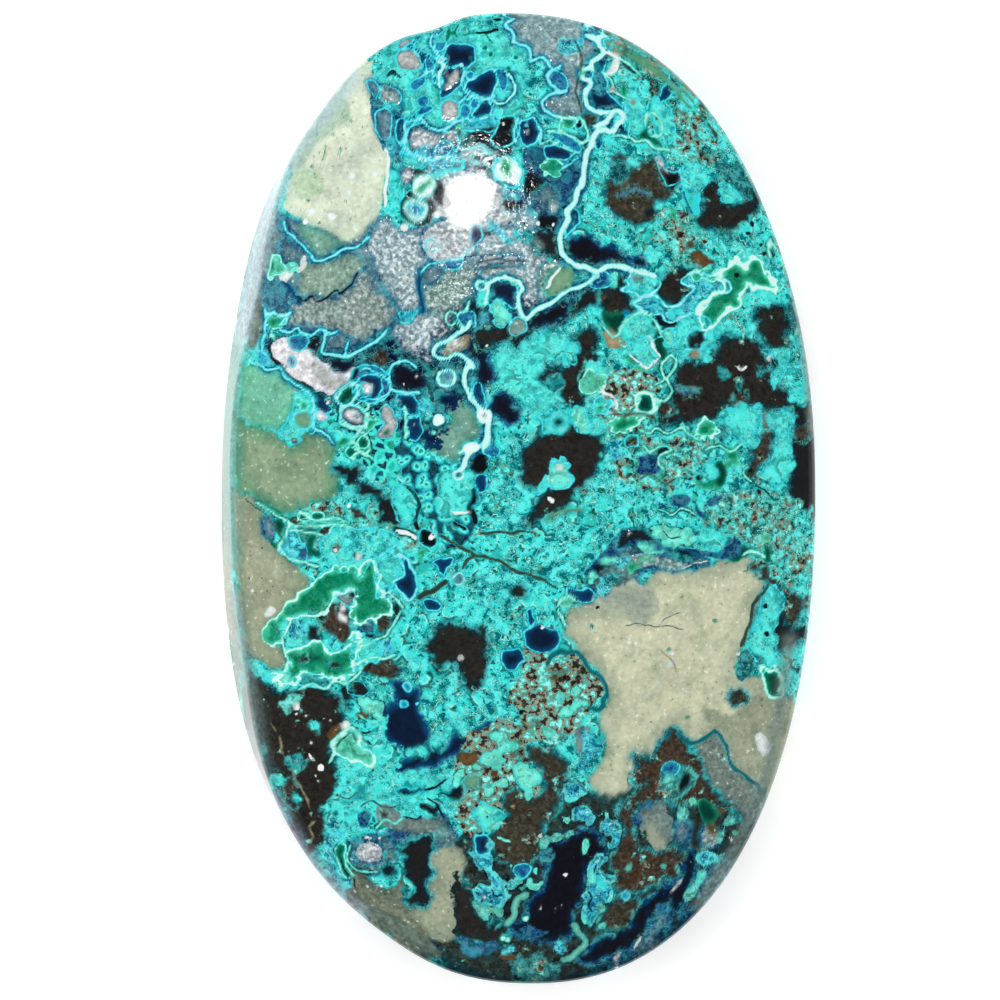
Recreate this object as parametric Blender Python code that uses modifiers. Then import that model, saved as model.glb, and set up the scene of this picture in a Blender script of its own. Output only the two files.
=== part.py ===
"""A hand-cut oval cabochon of polished shattuckite: one natural stone, flat underneath and domed on top.

The stone lies on its flat back at z = 0, with its long axis along Y and the middle of its box at the origin.
It is made as a lapidary makes it: a round blank is turned to the cabochon's profile, and its rim is then
ground to the oval, with the wall leaning in where the cutter left it so.
"""

import math

import bmesh
import bpy

MM = 0.001

# Driving dimensions of the finished stone
LENGTH = 41.0 * MM
WIDTH = 25.16 * MM
THICKNESS = 6.0 * MM
GIRDLE_HEIGHT = 2.3 * MM
BACK_BEVEL_WIDTH = 0.30 * MM
BACK_BEVEL_HEIGHT = 0.35 * MM
ARRIS_RADIUS = 0.16 * MM

# The oval is fuller than an ellipse, whose exponent is 2, and was ground slightly askew
OVAL_EXPONENT = 2.233
SKEW = 0.093 * MM

# The dome's height falls as (1 - share ** DOME_FULLNESS) ** DOME_SHOULDER from its top to its rim
DOME_FULLNESS = 2.2
DOME_SHOULDER = 0.8

# Hand-ground flats (negative) and full spots round the rim: angle, half width in degrees, depth.
# The first is the nick in the rim. Each fades inwards as share ** SPOT_FADE, so the dome stays smooth.
SPOT_FADE = 6
RIM_SPOTS = (
    (105.0, 5.0, -0.24 * MM),
    (129.0, 6.0, -0.12 * MM),
    (145.0, 9.0, 0.12 * MM),
    (208.0, 11.0, 0.14 * MM),
    (241.0, 11.0, -0.17 * MM),
    (30.0, 14.0, -0.10 * MM),
    (64.0, 14.0, 0.08 * MM),
)

# How far the wall leans in by the top of the girdle: everywhere, and more at some angles
WALL_LEAN = 0.10 * MM
LEAN_SPOTS = (
    (153.0, 13.0, 0.62 * MM),
    (180.0, 14.0, 0.30 * MM),
    (200.0, 13.0, 0.42 * MM),
)

# Facets of the turned blank
STEPS_ROUND = 120
DOME_RINGS = 13
ARRIS_RINGS = 3
MERGE_DISTANCE = 0.000001

BLANK_RADIUS = WIDTH / 2

# The stone's mean look; the finish in full detail is the renderer's
STONE_COLOUR = (0.060, 0.342, 0.330, 1.0)
STONE_ROUGHNESS = 0.16
STONE_COAT = 0.6


def clear_scene():
    """Remove whatever the open file holds."""
    for old in list(bpy.data.objects):
        bpy.data.objects.remove(old)


def spots_at(angle, spots):
    """The sum of the smooth spots at an angle in degrees, each fading over its half width."""
    total = 0.0
    for centre, half_width, depth in spots:
        away = (angle - centre + 180.0) % 360.0 - 180.0
        total += depth * math.exp(-((away / half_width) ** 2))
    return total


def oval_point(angle):
    """The plain oval's point and outward normal at an angle in degrees, both as (x, y)."""
    across = math.cos(math.radians(angle))
    along = math.sin(math.radians(angle))
    reach = (abs(across) ** OVAL_EXPONENT + abs(along) ** OVAL_EXPONENT) ** (-1 / OVAL_EXPONENT)
    point = (WIDTH / 2 * reach * across, LENGTH / 2 * reach * along)
    slope_x = math.copysign(abs(reach * across) ** (OVAL_EXPONENT - 1), across) / WIDTH
    slope_y = math.copysign(abs(reach * along) ** (OVAL_EXPONENT - 1), along) / LENGTH
    length = math.hypot(slope_x, slope_y)
    return point, (slope_x / length, slope_y / length)


def ground_point(share, angle, height):
    """Where a point of the blank ends up, at its share of the way to the rim, angle in degrees and height."""
    (x, y), (normal_x, normal_y) = oval_point(angle)
    rise = (height - BACK_BEVEL_HEIGHT) / (GIRDLE_HEIGHT - BACK_BEVEL_HEIGHT)
    rise = min(max(rise, 0.0), 1.0)
    lean = rise * (WALL_LEAN + spots_at(angle, LEAN_SPOTS))
    offset = share * (SKEW * math.sin(4 * math.radians(angle)) - lean)
    offset += share**SPOT_FADE * spots_at(angle, RIM_SPOTS)
    return share * x + normal_x * offset, share * y + normal_y * offset


def dome_height(share):
    """The crown's height at a share of the way from the dome's top to its rim."""
    crown = THICKNESS - GIRDLE_HEIGHT
    return GIRDLE_HEIGHT + crown * (1.0 - share**DOME_FULLNESS) ** DOME_SHOULDER


def blank_profile():
    """The turned blank's profile as (radius, height), from the dome's top down to the middle of the back."""
    arris_share = 1.0 - ARRIS_RADIUS / BLANK_RADIUS
    points = []
    for ring in range(DOME_RINGS + 1):
        share = arris_share * math.sin(math.pi / 2 * ring / DOME_RINGS)
        points.append((BLANK_RADIUS * share, dome_height(share)))
    # The arris between crown and wall is eased along a curve whose control point is the sharp corner
    start_radius, start_height = points[-1]
    end_height = GIRDLE_HEIGHT - ARRIS_RADIUS / 2
    for ring in range(1, ARRIS_RINGS + 1):
        t = ring / ARRIS_RINGS
        corner_radius, corner_height = BLANK_RADIUS, (start_height + GIRDLE_HEIGHT) / 2
        radius = (1 - t) ** 2 * start_radius + 2 * t * (1 - t) * corner_radius + t**2 * BLANK_RADIUS
        height = (1 - t) ** 2 * start_height + 2 * t * (1 - t) * corner_height + t**2 * end_height
        points.append((radius, height))
    points.append((BLANK_RADIUS, (end_height + BACK_BEVEL_HEIGHT) / 2))
    points.append((BLANK_RADIUS, BACK_BEVEL_HEIGHT))
    points.append((BLANK_RADIUS - BACK_BEVEL_WIDTH, 0.0))
    points.append((BLANK_RADIUS / 2, 0.0))
    points.append((0.0, 0.0))
    return points


def turned_blank(collection):
    """Turn the profile about Z with a Screw modifier, and return the blank as a mesh object."""
    mesh = bpy.data.meshes.new("cabochon_profile")
    profile = [(radius, 0.0, height) for radius, height in blank_profile()]
    edges = [(i, i + 1) for i in range(len(profile) - 1)]
    mesh.from_pydata(profile, edges, [])
    guide = bpy.data.objects.new("cabochon_profile", mesh)
    collection.objects.link(guide)
    screw = guide.modifiers.new("Turn", "SCREW")
    screw.axis = "Z"
    screw.angle = 2 * math.pi
    screw.steps = STEPS_ROUND
    screw.render_steps = STEPS_ROUND
    screw.use_merge_vertices = True
    screw.merge_threshold = MERGE_DISTANCE
    bpy.context.view_layer.update()
    graph = bpy.context.evaluated_depsgraph_get()
    turned = bpy.data.meshes.new_from_object(guide.evaluated_get(graph))
    bpy.data.objects.remove(guide)
    turned.name = "cabochon"
    blank = bpy.data.objects.new("cabochon", turned)
    collection.objects.link(blank)
    return blank


def grind_to_oval(blank):
    """Push every ring of the round blank out to the oval, keeping its share of the way to the rim."""
    shape = bmesh.new()
    shape.from_mesh(blank.data)
    bmesh.ops.remove_doubles(shape, verts=shape.verts, dist=MERGE_DISTANCE)
    for vertex in shape.verts:
        share = math.hypot(vertex.co.x, vertex.co.y) / BLANK_RADIUS
        angle = math.degrees(math.atan2(vertex.co.y, vertex.co.x)) % 360.0
        vertex.co.x, vertex.co.y = ground_point(share, angle, vertex.co.z)
    bmesh.ops.recalc_face_normals(shape, faces=shape.faces)
    shape.to_mesh(blank.data)
    shape.free()
    blank.data.shade_smooth()
    blank.data.set_sharp_from_angle(angle=math.radians(35))


def stone_material():
    """Polished turquoise-blue copper silicate, as one mean colour."""
    material = bpy.data.materials.new("polished_shattuckite")
    material.use_nodes = True
    shader = material.node_tree.nodes["Principled BSDF"]
    shader.inputs["Base Color"].default_value = STONE_COLOUR
    shader.inputs["Roughness"].default_value = STONE_ROUGHNESS
    shader.inputs["Metallic"].default_value = 0.0
    shader.inputs["Coat Weight"].default_value = STONE_COAT
    return material


def build():
    clear_scene()
    collection = bpy.data.collections.new("polished_shattuckite")
    bpy.context.scene.collection.children.link(collection)
    stone = turned_blank(collection)
    grind_to_oval(stone)
    stone.data.materials.append(stone_material())


build()
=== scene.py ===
# %% [markdown]
# # A polished shattuckite cabochon
#
# A cabochon is a stone ground to a dome on a flat back. This one is a slice of copper ore: turquoise chrysocolla
# and deep blue shattuckite, veined with pale seams, among green malachite, black tenorite and clouded quartz.
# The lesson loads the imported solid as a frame, grinds a finer copy of its dome with Geometry Nodes, then lays out
# the markings and polishes the stone.

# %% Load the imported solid
import math

import bpy
import numpy as np
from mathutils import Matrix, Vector


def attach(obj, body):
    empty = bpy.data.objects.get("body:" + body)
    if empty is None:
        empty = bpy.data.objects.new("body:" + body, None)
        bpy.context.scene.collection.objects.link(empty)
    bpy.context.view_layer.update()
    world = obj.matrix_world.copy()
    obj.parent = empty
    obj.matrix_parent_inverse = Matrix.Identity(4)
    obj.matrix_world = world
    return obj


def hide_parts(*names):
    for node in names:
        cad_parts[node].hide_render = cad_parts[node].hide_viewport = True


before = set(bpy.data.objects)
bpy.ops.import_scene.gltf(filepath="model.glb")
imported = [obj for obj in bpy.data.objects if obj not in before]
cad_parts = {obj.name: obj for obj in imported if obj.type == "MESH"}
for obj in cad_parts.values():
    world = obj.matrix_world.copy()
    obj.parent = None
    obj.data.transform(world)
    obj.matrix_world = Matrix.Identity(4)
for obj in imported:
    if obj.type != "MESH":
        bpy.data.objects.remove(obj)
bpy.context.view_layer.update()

# %% [markdown]
# ## The stone's sizes
#
# The solid was made from these sizes, so the fine stone repeats them: a superellipse outline, a dome whose height
# falls with the share of the way to the rim, a girdle wall that leans in, an eased arris and a small back bevel.
# Each spot is an angle and a half width in degrees and a depth: the first one is the nick in the rim.

# %% Sizes of the stone
MM = 0.001
LENGTH = 41.0 * MM
WIDTH = 25.16 * MM
THICKNESS = 6.0 * MM
GIRDLE_HEIGHT = 2.3 * MM
BACK_BEVEL_WIDTH = 0.30 * MM
BACK_BEVEL_HEIGHT = 0.35 * MM
ARRIS_RADIUS = 0.16 * MM
OVAL_EXPONENT = 2.233
SKEW = 0.093 * MM
DOME_FULLNESS = 2.2
DOME_SHOULDER = 0.8
WALL_LEAN = 0.10 * MM
SPOT_FADE = 6
RIM_SPOTS = (
    (105.0, 5.0, -0.24 * MM),
    (129.0, 6.0, -0.12 * MM),
    (145.0, 9.0, 0.12 * MM),
    (208.0, 11.0, 0.14 * MM),
    (241.0, 11.0, -0.17 * MM),
    (30.0, 14.0, -0.10 * MM),
    (64.0, 14.0, 0.08 * MM),
)
LEAN_SPOTS = (
    (153.0, 13.0, 0.62 * MM),
    (180.0, 14.0, 0.30 * MM),
    (200.0, 13.0, 0.42 * MM),
)
BLANK_RADIUS = WIDTH / 2
print(f"stone {LENGTH / MM:.1f} x {WIDTH / MM:.1f} x {THICKNESS / MM:.1f} mm")

# %% [markdown]
# ## The camera
#
# The photograph looks straight down on the dome from a hand's breadth away. The outline's scale and centre in
# the 1000 x 1000 picture fix the camera's height and place, and its slight turn is the tilt of the long axis.

# %% Camera over the dome
PICTURE_SIZE = 1000
PIXELS_PER_MM = 23.6
OUTLINE_CENTRE = (518.5, 498.4)
OUTLINE_TILT = 0.0186
LENS = 200.0
SENSOR = 36.0

focal_pixels = LENS / SENSOR * PICTURE_SIZE
camera_height = BACK_BEVEL_HEIGHT + focal_pixels / PIXELS_PER_MM * MM
picture_right = np.array((math.cos(OUTLINE_TILT), -math.sin(OUTLINE_TILT)))
picture_up = np.array((math.sin(OUTLINE_TILT), math.cos(OUTLINE_TILT)))
off_right = (PICTURE_SIZE / 2 - OUTLINE_CENTRE[0]) / PIXELS_PER_MM * MM
off_up = (OUTLINE_CENTRE[1] - PICTURE_SIZE / 2) / PIXELS_PER_MM * MM
camera_across = off_right * picture_right + off_up * picture_up

camera_data = bpy.data.cameras.new("photo_camera")
camera_data.lens = LENS
camera_data.sensor_width = SENSOR
camera_data.clip_end = 10.0
camera = bpy.data.objects.new("photo_camera", camera_data)
camera.location = (camera_across[0], camera_across[1], camera_height)
camera.rotation_euler = (0.0, 0.0, -OUTLINE_TILT)
bpy.context.scene.collection.objects.link(camera)
bpy.context.scene.camera = camera
print("camera at", [round(value / MM, 1) for value in camera.location], "mm")

# %% [markdown]
# ## The preform
#
# A cutter starts with a round, flat-topped blank. Here it is a closed mesh: a fine lattice on top, where the
# markings need it, a few rings down the wall, and a lattice four times coarser underneath. Square rings of the
# lattice are laid out as round ones, so each keeps one share of the way to the rim, and no pole is pinched.

# %% Profile of the blank's edge
CROWN_COLUMNS = 112
CROWN_ROWS = 176
BACK_COARSER = 4
ARRIS_RINGS = 3
WALL_RINGS = 5


def dome_height(share):
    """The crown's height at a share of the way from the dome's top to its rim."""
    crown = THICKNESS - GIRDLE_HEIGHT
    return GIRDLE_HEIGHT + crown * (1.0 - share**DOME_FULLNESS) ** DOME_SHOULDER


def edge_profile():
    """Rings of the blank's edge as (share of the radius, height), from the arris down to the back."""
    rings = []
    end_height = GIRDLE_HEIGHT - ARRIS_RADIUS / 2
    start_height = dome_height(ARRIS_SHARE)
    corner_height = (start_height + GIRDLE_HEIGHT) / 2
    for ring in range(1, ARRIS_RINGS + 1):
        t = ring / ARRIS_RINGS
        share = (1 - t) ** 2 * ARRIS_SHARE + 2 * t * (1 - t) + t**2
        height = (1 - t) ** 2 * start_height + 2 * t * (1 - t) * corner_height + t**2 * end_height
        rings.append((share, height))
    for ring in range(1, WALL_RINGS + 1):
        t = ring / WALL_RINGS
        rings.append((1.0, end_height + t * (BACK_BEVEL_HEIGHT - end_height)))
    rings.append((BACK_SHARE, 0.0))
    return rings


ARRIS_SHARE = 1.0 - ARRIS_RADIUS / BLANK_RADIUS
BACK_SHARE = 1.0 - BACK_BEVEL_WIDTH / BLANK_RADIUS
print("edge rings:", len(edge_profile()))


# %% Lattices of the blank
def disc_lattice(columns, rows):
    """A lattice of (2 columns + 1) x (2 rows + 1) points on the unit disc, as share and angle arrays."""
    across, along = np.meshgrid(
        np.arange(-columns, columns + 1) / columns, np.arange(-rows, rows + 1) / rows, indexing="ij"
    )
    share = np.maximum(np.abs(across), np.abs(along))
    sideways = np.abs(across) >= np.abs(along)
    safe_across = np.where(across == 0, 1.0, across)
    safe_along = np.where(along == 0, 1.0, along)
    angle = np.where(sideways, 0.25 * math.pi * along / safe_across, 0.25 * math.pi * (2 - across / safe_along))
    turned = np.where(sideways, across < 0, along < 0)
    return share, angle + np.where(turned, math.pi, 0.0)


def lattice_rim(columns, rows):
    """Indices of a lattice's outermost points, anticlockwise from its lower right corner."""
    index = np.arange((2 * columns + 1) * (2 * rows + 1)).reshape(2 * columns + 1, 2 * rows + 1)
    return np.concatenate((index[-1, :-1], index[:0:-1, -1], index[0, :0:-1], index[:-1, 0]))


def lattice_quads(columns, rows, first, downwards):
    """The lattice's quads, facing up, or down for the back."""
    index = np.arange((2 * columns + 1) * (2 * rows + 1)).reshape(2 * columns + 1, 2 * rows + 1) + first
    corners = (index[:-1, :-1], index[1:, :-1], index[1:, 1:], index[:-1, 1:])
    if downwards:
        corners = corners[::-1]
    return np.stack([corner.ravel() for corner in corners], axis=1).tolist()


def blank_mesh():
    """The closed round blank: its crown lattice first, then the edge rings, then the back lattice."""
    share, angle = disc_lattice(CROWN_COLUMNS, CROWN_ROWS)
    rim = lattice_rim(CROWN_COLUMNS, CROWN_ROWS)
    rim_angle = angle.ravel()[rim]
    shares = [share.ravel() * ARRIS_SHARE]
    angles = [angle.ravel()]
    heights = [np.full(share.size, GIRDLE_HEIGHT)]
    faces = lattice_quads(CROWN_COLUMNS, CROWN_ROWS, 0, False)
    upper = rim
    count = share.size
    for ring_share, ring_height in edge_profile():
        lower = np.arange(count, count + len(rim))
        shares.append(np.full(len(rim), ring_share))
        angles.append(rim_angle)
        heights.append(np.full(len(rim), ring_height))
        ring_quads = np.stack((upper, lower, np.roll(lower, -1), np.roll(upper, -1)), axis=1)
        faces.extend(ring_quads.tolist())
        upper = lower
        count += len(rim)
    columns, rows = CROWN_COLUMNS // BACK_COARSER, CROWN_ROWS // BACK_COARSER
    back_share, back_angle = disc_lattice(columns, rows)
    inner_share = BACK_SHARE * (1.0 - 0.8 / rows)
    shares.append(back_share.ravel() * inner_share)
    angles.append(back_angle.ravel())
    heights.append(np.zeros(back_share.size))
    faces.extend(lattice_quads(columns, rows, count, True))
    coarse = lattice_rim(columns, rows) + count
    for step, corner in enumerate(coarse):
        following = coarse[(step + 1) % len(coarse)]
        fine = [upper[(step * BACK_COARSER + k) % len(upper)] for k in range(BACK_COARSER + 1)]
        middle = BACK_COARSER // 2
        for k in range(BACK_COARSER):
            hub = corner if k < middle else following
            faces.append((hub, fine[k + 1], fine[k]))
        faces.append((corner, following, fine[middle]))
    shares, angles, heights = (np.concatenate(parts) for parts in (shares, angles, heights))
    radius = shares * BLANK_RADIUS
    points = np.stack((radius * np.cos(angles), radius * np.sin(angles), heights), axis=1)
    mesh = bpy.data.meshes.new("cabochon_blank")
    mesh.from_pydata(points.tolist(), [], [tuple(int(i) for i in face) for face in faces])
    crown = mesh.attributes.new("crown", "FLOAT", "POINT")
    flags = np.zeros(len(points), dtype=np.float32)
    flags[: share.size] = 1.0
    crown.data.foreach_set("value", flags)
    return mesh, shares, angles, heights


blank, blank_share, blank_angle, blank_height = blank_mesh()
print("blank:", len(blank.vertices), "points,", len(blank.polygons), "faces")

# %% [markdown]
# ## Grinding the dome
#
# The dome follows a rule, so a Geometry Nodes tree grinds it: it raises each crown point to the dome's height,
# then pushes every point out to the oval and back by the wall's lean and the spots. A small class writes the
# maths as ordinary sums, and makes the nodes for them.


# %% Sums made of nodes
class Sum:
    """A number in a node tree, which adds, multiplies and raises by making Math nodes."""

    def __init__(self, tree, socket):
        self.tree = tree
        self.socket = socket

    def node(self, operation, *others):
        maths = self.tree.nodes.new("ShaderNodeMath")
        maths.operation = operation
        for slot, value in zip(maths.inputs, (self, *others)):
            if isinstance(value, Sum):
                self.tree.links.new(value.socket, slot)
            else:
                slot.default_value = value
        return Sum(self.tree, maths.outputs[0])

    def __add__(self, other):
        return self.node("ADD", other)

    def __sub__(self, other):
        return self.node("SUBTRACT", other)

    def __mul__(self, other):
        return self.node("MULTIPLY", other)

    def __truediv__(self, other):
        return self.node("DIVIDE", other)

    def __pow__(self, other):
        return self.node("POWER", other)

    def __neg__(self):
        return self.node("MULTIPLY", -1.0)

    def less_from(self, number):
        """number - self"""
        return self.node("MULTIPLY_ADD", -1.0, number)

    def clamped(self):
        low = self.node("MAXIMUM", 0.0)
        return low.node("MINIMUM", 1.0)


# %% The grinding tree
GRIND_SIZES = {
    "Length": LENGTH,
    "Width": WIDTH,
    "Thickness": THICKNESS,
    "Girdle Height": GIRDLE_HEIGHT,
    "Back Bevel Height": BACK_BEVEL_HEIGHT,
    "Oval Exponent": OVAL_EXPONENT,
    "Dome Fullness": DOME_FULLNESS,
    "Dome Shoulder": DOME_SHOULDER,
    "Skew": SKEW,
    "Wall Lean": WALL_LEAN,
    "Spot Fade": float(SPOT_FADE),
}


def spots_sum(angle, spots):
    """The smooth spots at an angle in degrees, added up."""
    total = None
    for centre, half_width, depth in spots:
        away = (angle - centre).node("WRAP", -180.0, 180.0) / half_width
        spot = (-(away * away)).node("EXPONENT") * depth
        total = spot if total is None else total + spot
    return total


def grinding_tree():
    """Geometry Nodes that grind the round blank to the domed oval."""
    tree = bpy.data.node_groups.new("grind_cabochon", "GeometryNodeTree")
    tree.interface.new_socket("Blank", in_out="INPUT", socket_type="NodeSocketGeometry")
    for name in GRIND_SIZES:
        tree.interface.new_socket(name, in_out="INPUT", socket_type="NodeSocketFloat")
    tree.interface.new_socket("Finish", in_out="INPUT", socket_type="NodeSocketMaterial")
    tree.interface.new_socket("Stone", in_out="OUTPUT", socket_type="NodeSocketGeometry")
    entry = tree.nodes.new("NodeGroupInput")
    size = {name: Sum(tree, entry.outputs[name]) for name in GRIND_SIZES}
    position = tree.nodes.new("GeometryNodeInputPosition")
    parts = tree.nodes.new("ShaderNodeSeparateXYZ")
    tree.links.new(position.outputs[0], parts.inputs[0])
    x, y, z = (Sum(tree, output) for output in parts.outputs)
    share = (x * x + y * y) ** 0.5 / (size["Width"] * 0.5)
    turn = y.node("ARCTAN2", x)
    angle = turn * (180.0 / math.pi)
    crown = tree.nodes.new("GeometryNodeInputNamedAttribute")
    crown.data_type = "FLOAT"
    crown.inputs["Name"].default_value = "crown"
    on_crown = Sum(tree, crown.outputs["Attribute"])
    fall = (share ** size["Dome Fullness"]).less_from(1.0).clamped() ** size["Dome Shoulder"]
    height = z + (size["Thickness"] - size["Girdle Height"]) * fall * on_crown
    across, along = turn.node("COSINE"), turn.node("SINE")
    exponent = size["Oval Exponent"]
    power_sum = across.node("ABSOLUTE") ** exponent + along.node("ABSOLUTE") ** exponent
    reach = power_sum ** (exponent.node("DIVIDE", 1.0).node("POWER", -1.0) * -1.0)
    oval = [half * reach * part * 0.5 for half, part in ((size["Width"], across), (size["Length"], along))]
    slopes = []
    for part, extent in ((across, size["Width"]), (along, size["Length"])):
        steep = (reach * part.node("ABSOLUTE")) ** (exponent - 1.0)
        slopes.append(steep * part.node("SIGN") / extent)
    steepness = (slopes[0] * slopes[0] + slopes[1] * slopes[1]) ** 0.5
    bevel = size["Back Bevel Height"]
    rise = ((height - bevel) / (size["Girdle Height"] - bevel)).clamped()
    lean = rise * (spots_sum(angle, LEAN_SPOTS) + size["Wall Lean"])
    offset = share * (size["Skew"] * (turn * 4.0).node("SINE") - lean)
    offset = offset + share ** size["Spot Fade"] * spots_sum(angle, RIM_SPOTS)
    ground = [share * plain + slope / steepness * offset for plain, slope in zip(oval, slopes)]
    place = tree.nodes.new("ShaderNodeCombineXYZ")
    for slot, value in zip(place.inputs, (*ground, height)):
        tree.links.new(value.socket, slot)
    move = tree.nodes.new("GeometryNodeSetPosition")
    realize = tree.nodes.new("GeometryNodeRealizeInstances")
    finish = tree.nodes.new("GeometryNodeSetMaterial")
    leave = tree.nodes.new("NodeGroupOutput")
    tree.links.new(entry.outputs["Blank"], move.inputs["Geometry"])
    tree.links.new(place.outputs[0], move.inputs["Position"])
    tree.links.new(move.outputs[0], realize.inputs[0])
    tree.links.new(realize.outputs[0], finish.inputs["Geometry"])
    tree.links.new(entry.outputs["Finish"], finish.inputs["Material"])
    tree.links.new(finish.outputs[0], leave.inputs[0])
    return tree


# %% Grind the blank
def ground_stone(finish):
    """Run the blank through the tree and return the stone as a plain mesh object."""
    guide = bpy.data.objects.new("cabochon_blank", blank)
    bpy.context.scene.collection.objects.link(guide)
    grind = guide.modifiers.new("Grind", "NODES")
    grind.node_group = grinding_tree()
    for item in grind.node_group.interface.items_tree:
        if item.in_out == "INPUT" and item.name in GRIND_SIZES:
            grind[item.identifier] = GRIND_SIZES[item.name]
        if item.in_out == "INPUT" and item.name == "Finish":
            grind[item.identifier] = finish
    bpy.context.view_layer.update()
    graph = bpy.context.evaluated_depsgraph_get()
    mesh = bpy.data.meshes.new_from_object(guide.evaluated_get(graph))
    bpy.data.objects.remove(guide)
    mesh.name = "polished_stone"
    stone = bpy.data.objects.new("polished_stone", mesh)
    bpy.context.scene.collection.objects.link(stone)
    return stone


polish = bpy.data.materials.new("polished_shattuckite")
polish.use_nodes = True
stone = ground_stone(polish)
points = np.zeros(len(stone.data.vertices) * 3)
stone.data.vertices.foreach_get("co", points)
points = points.reshape(-1, 3)
print("stone spans", np.round((points.max(0) - points.min(0)) / MM, 2), "mm,", len(stone.data.polygons), "faces")

# %% [markdown]
# ## Where a marking falls
#
# The markings are read off the photograph as outlines in its pixels, so each point of the stone is given the
# pixel where the camera sees it. A real slice's bands run on down the wall and through the back: there a point
# takes the pixel of the crown that many millimetres in from the rim, so nothing stops at an edge.


# %% Picture place of every point
def oval_points(share, angle):
    """The crown's points at shares and angles in radians, from the same rule as the tree."""
    across, along = np.cos(angle), np.sin(angle)
    reach = (np.abs(across) ** OVAL_EXPONENT + np.abs(along) ** OVAL_EXPONENT) ** (-1 / OVAL_EXPONENT)
    x = WIDTH / 2 * reach * across * share
    y = LENGTH / 2 * reach * along * share
    return np.stack((x, y, dome_height(np.minimum(share, 1.0))), axis=1)


def picture_place(places):
    """Pixels, from the picture's top left corner, where the camera sees points in metres."""
    away = places[:, :2] - camera_across
    depth = camera_height - places[:, 2]
    right = away @ picture_right / depth * focal_pixels
    up = away @ picture_up / depth * focal_pixels
    return np.stack((PICTURE_SIZE / 2 + right, PICTURE_SIZE / 2 - up), axis=1)


EDGE_SHARE = 0.974
crown_count = (2 * CROWN_COLUMNS + 1) * (2 * CROWN_ROWS + 1)
below_arris = np.clip(GIRDLE_HEIGHT - blank_height, 0.0, GIRDLE_HEIGHT)
wall_fold = 1.0 - below_arris / BLANK_RADIUS
folded = oval_points(np.clip(blank_share * wall_fold, 0.0, EDGE_SHARE), blank_angle)
seen = picture_place(points)
pixels = picture_place(folded)
pulled_in = np.minimum(1.0, EDGE_SHARE / np.maximum(blank_share[:crown_count, None], EDGE_SHARE / 2))
pixels[:crown_count] = seen[0] + (seen[:crown_count] - seen[0]) * pulled_in
print("crown pixels from", seen[:crown_count].min(0).round(1), "to", seen[:crown_count].max(0).round(1))
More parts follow.
